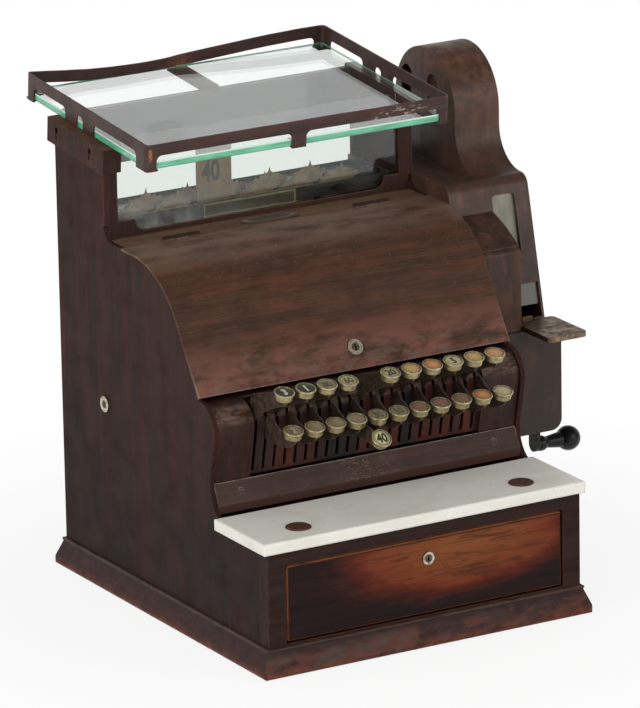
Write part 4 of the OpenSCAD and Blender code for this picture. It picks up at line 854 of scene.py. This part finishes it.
def printed_ink(name, colour):
    """Printing ink under the same celluloid."""
    finish, tree, shader = new_finish(name)
    worn = patches(tree, 1.2, 0.3, 0.7, top=0.3)
    wire(shader, {"Base Color": tint(tree, worn, colour, "#6b6350"), "Roughness": 0.5, "Coat Weight": 0.6})
    return finish


faces = {
    "black": printed_face("blackened_card", "#33322b", "#45412f", "#25241f"),
    "umber": printed_face("browned_card", "#6a5a41", "#7a6a4a", "#4f422f"),
    "khaki": printed_face("khaki_card", "#8f8561", "#857a55", "#6f6547"),
    "cream": printed_face("cream_card", "#b5aa7a", "#9c9066", "#857a54"),
    "fresh": printed_face("fresh_cream_card", "#cfcc98", "#c2be89", "#b0a978", ring="#3a3828"),
    "green": printed_face("greenish_card", "#bdb684", "#a9a171", "#98905f"),
    "tan": printed_face("tan_card", "#c2a067", "#a98752", "#96764a"),
    "orange": printed_face("orange_card", "#c8925c", "#ad6e3f", "#965c36"),
    "rose": printed_face("rose_card", "#c29a68", "#b57f52", "#9c6f4a"),
    "brown": printed_face("brown_card", "#8a6650", "#7d5e49", "#6b4f3d"),
    "dull": printed_face("dull_card", "#857355", "#80704f", "#6c5f44"),
}
inks = {
    "dark": printed_ink("black_ink", "#1d1b16"),
    "grey": printed_ink("faded_ink", "#4c4636"),
    "light": printed_ink("cream_ink", "#d8d2b4"),
    "buff": printed_ink("buff_ink", "#a39573"),
}
# The figure on each cap from left to right, its card and its ink. The last ones have faded blank.
upper_row = [("3", "black", "light"), ("1", "black", "light"), ("80", "khaki", "grey"),
             ("60", "cream", "grey"), ("40", "fresh", "dark"), ("20", "cream", "dark"), ("", "tan", ""),
             ("", "orange", ""), ("5", "green", "dark"), ("", "tan", ""), ("", "rose", "")]
lower_row = [("2", "umber", "buff"), ("", "dull", ""), ("", "dull", ""), ("", "dull", ""),
             ("30", "khaki", "grey"), ("10", "khaki", "grey"), ("", "brown", ""), ("", "brown", ""),
             ("", "brown", ""), ("", "orange", ""), ("", "green", "")]

# The cap's middle from the key shaft, along Y and Z, and its tilt. One key is held down. In the cap's
# own place, its cup, its rim and the blade below it tell where each finish goes.
shaft_y, shaft_z = -38.55, 200.96
cap_offsets = {"upper": (-126, 83), "lower": (-121, 38)}
cap_tilt = radians(15)
pressed_key, press = "upper_key_5", radians(25)
cup_radius, cup_height, cup_top = 12.2, 9.6, 1.0
rim_inside, rim_foot = 8.8, -1.3
blade_half, blade_top = 0.95, -8.9
disc_radius, disc_rings, disc_points = 9.3, 4, 40


def dome(out):
    """The height of the card's face at that distance from its middle, below the cap's rim."""
    return -0.45 - 0.25 * (out / disc_radius) ** 2


def card_disc():
    """The card: rings of faces round a point, gently domed."""
    disc = bmesh.new()
    centre = disc.verts.new((0, 0, dome(0) * MM))
    last = None
    for ring in range(1, disc_rings + 1):
        r = disc_radius * ring / disc_rings
        turns = [2 * pi * j / disc_points for j in range(disc_points)]
        loop = [disc.verts.new(Vector((r * cos(t), r * sin(t), dome(r))) * MM) for t in turns]
        for j in range(disc_points):
            n = (j + 1) % disc_points
            face = (last[j], loop[j], loop[n], last[n]) if last else (centre, loop[j], loop[n])
            disc.faces.new(face).smooth = True
        last = loop
    return disc


def print_on(disc, figure, squeeze):
    """Lays a figure on the card, just proud of it, in the second finish."""
    ink = figures(figure, tall=11.5, weight=0.045, squeeze=squeeze)
    for v in ink.verts:
        v.co.z = (dome(v.co.xy.length / MM) + 0.15) * MM
    for face in ink.faces:
        face.material_index = 1
    flat = bpy.data.meshes.new("figures")
    ink.to_mesh(flat)
    ink.free()
    disc.from_mesh(flat)
    bpy.data.meshes.remove(flat)


for row, marks in (("upper", upper_row), ("lower", lower_row)):
    for k, (figure, card, ink) in enumerate(marks):
        name = f"{row}_key_{k + 1}"
        across = (2 * k + (row == "lower") - middle_slot) * key_pitch
        turn = press if name == pressed_key else 0
        shaft = Matrix.Translation(Vector((across, shaft_y, shaft_z)) * MM)
        arm = Matrix.Translation(Vector((0, *cap_offsets[row])) * MM)
        place = shaft @ Matrix.Rotation(turn, 4, "X") @ arm @ Matrix.Rotation(cap_tilt, 4, "X")
        lever = node[name].data
        lever.materials.clear()
        for finish in (fin_finish, cup_finish, polished_highlighted_rim_finish):
            lever.materials.append(finish)
        home = place.inverted()
        for face in lever.polygons:
            local = home @ face.center / MM
            out = local.xy.length
            on_cup = out < cup_radius and -cup_height < local.z < cup_top
            on_blade = abs(local.x) < blade_half and local.z < blade_top
            on_rim = local.z > rim_foot and out > rim_inside
            face.material_index = (2 if on_rim else 1) if on_cup and not on_blade else 0
        disc = card_disc()
        finishes = [faces[card]]
        if figure:
            finishes.append(inks[ink])
            print_on(disc, figure, squeeze=0.82 if card == "fresh" else 0.72)
        new_piece(name + "_face", disc, name, "flag_card", *finishes, place=place)
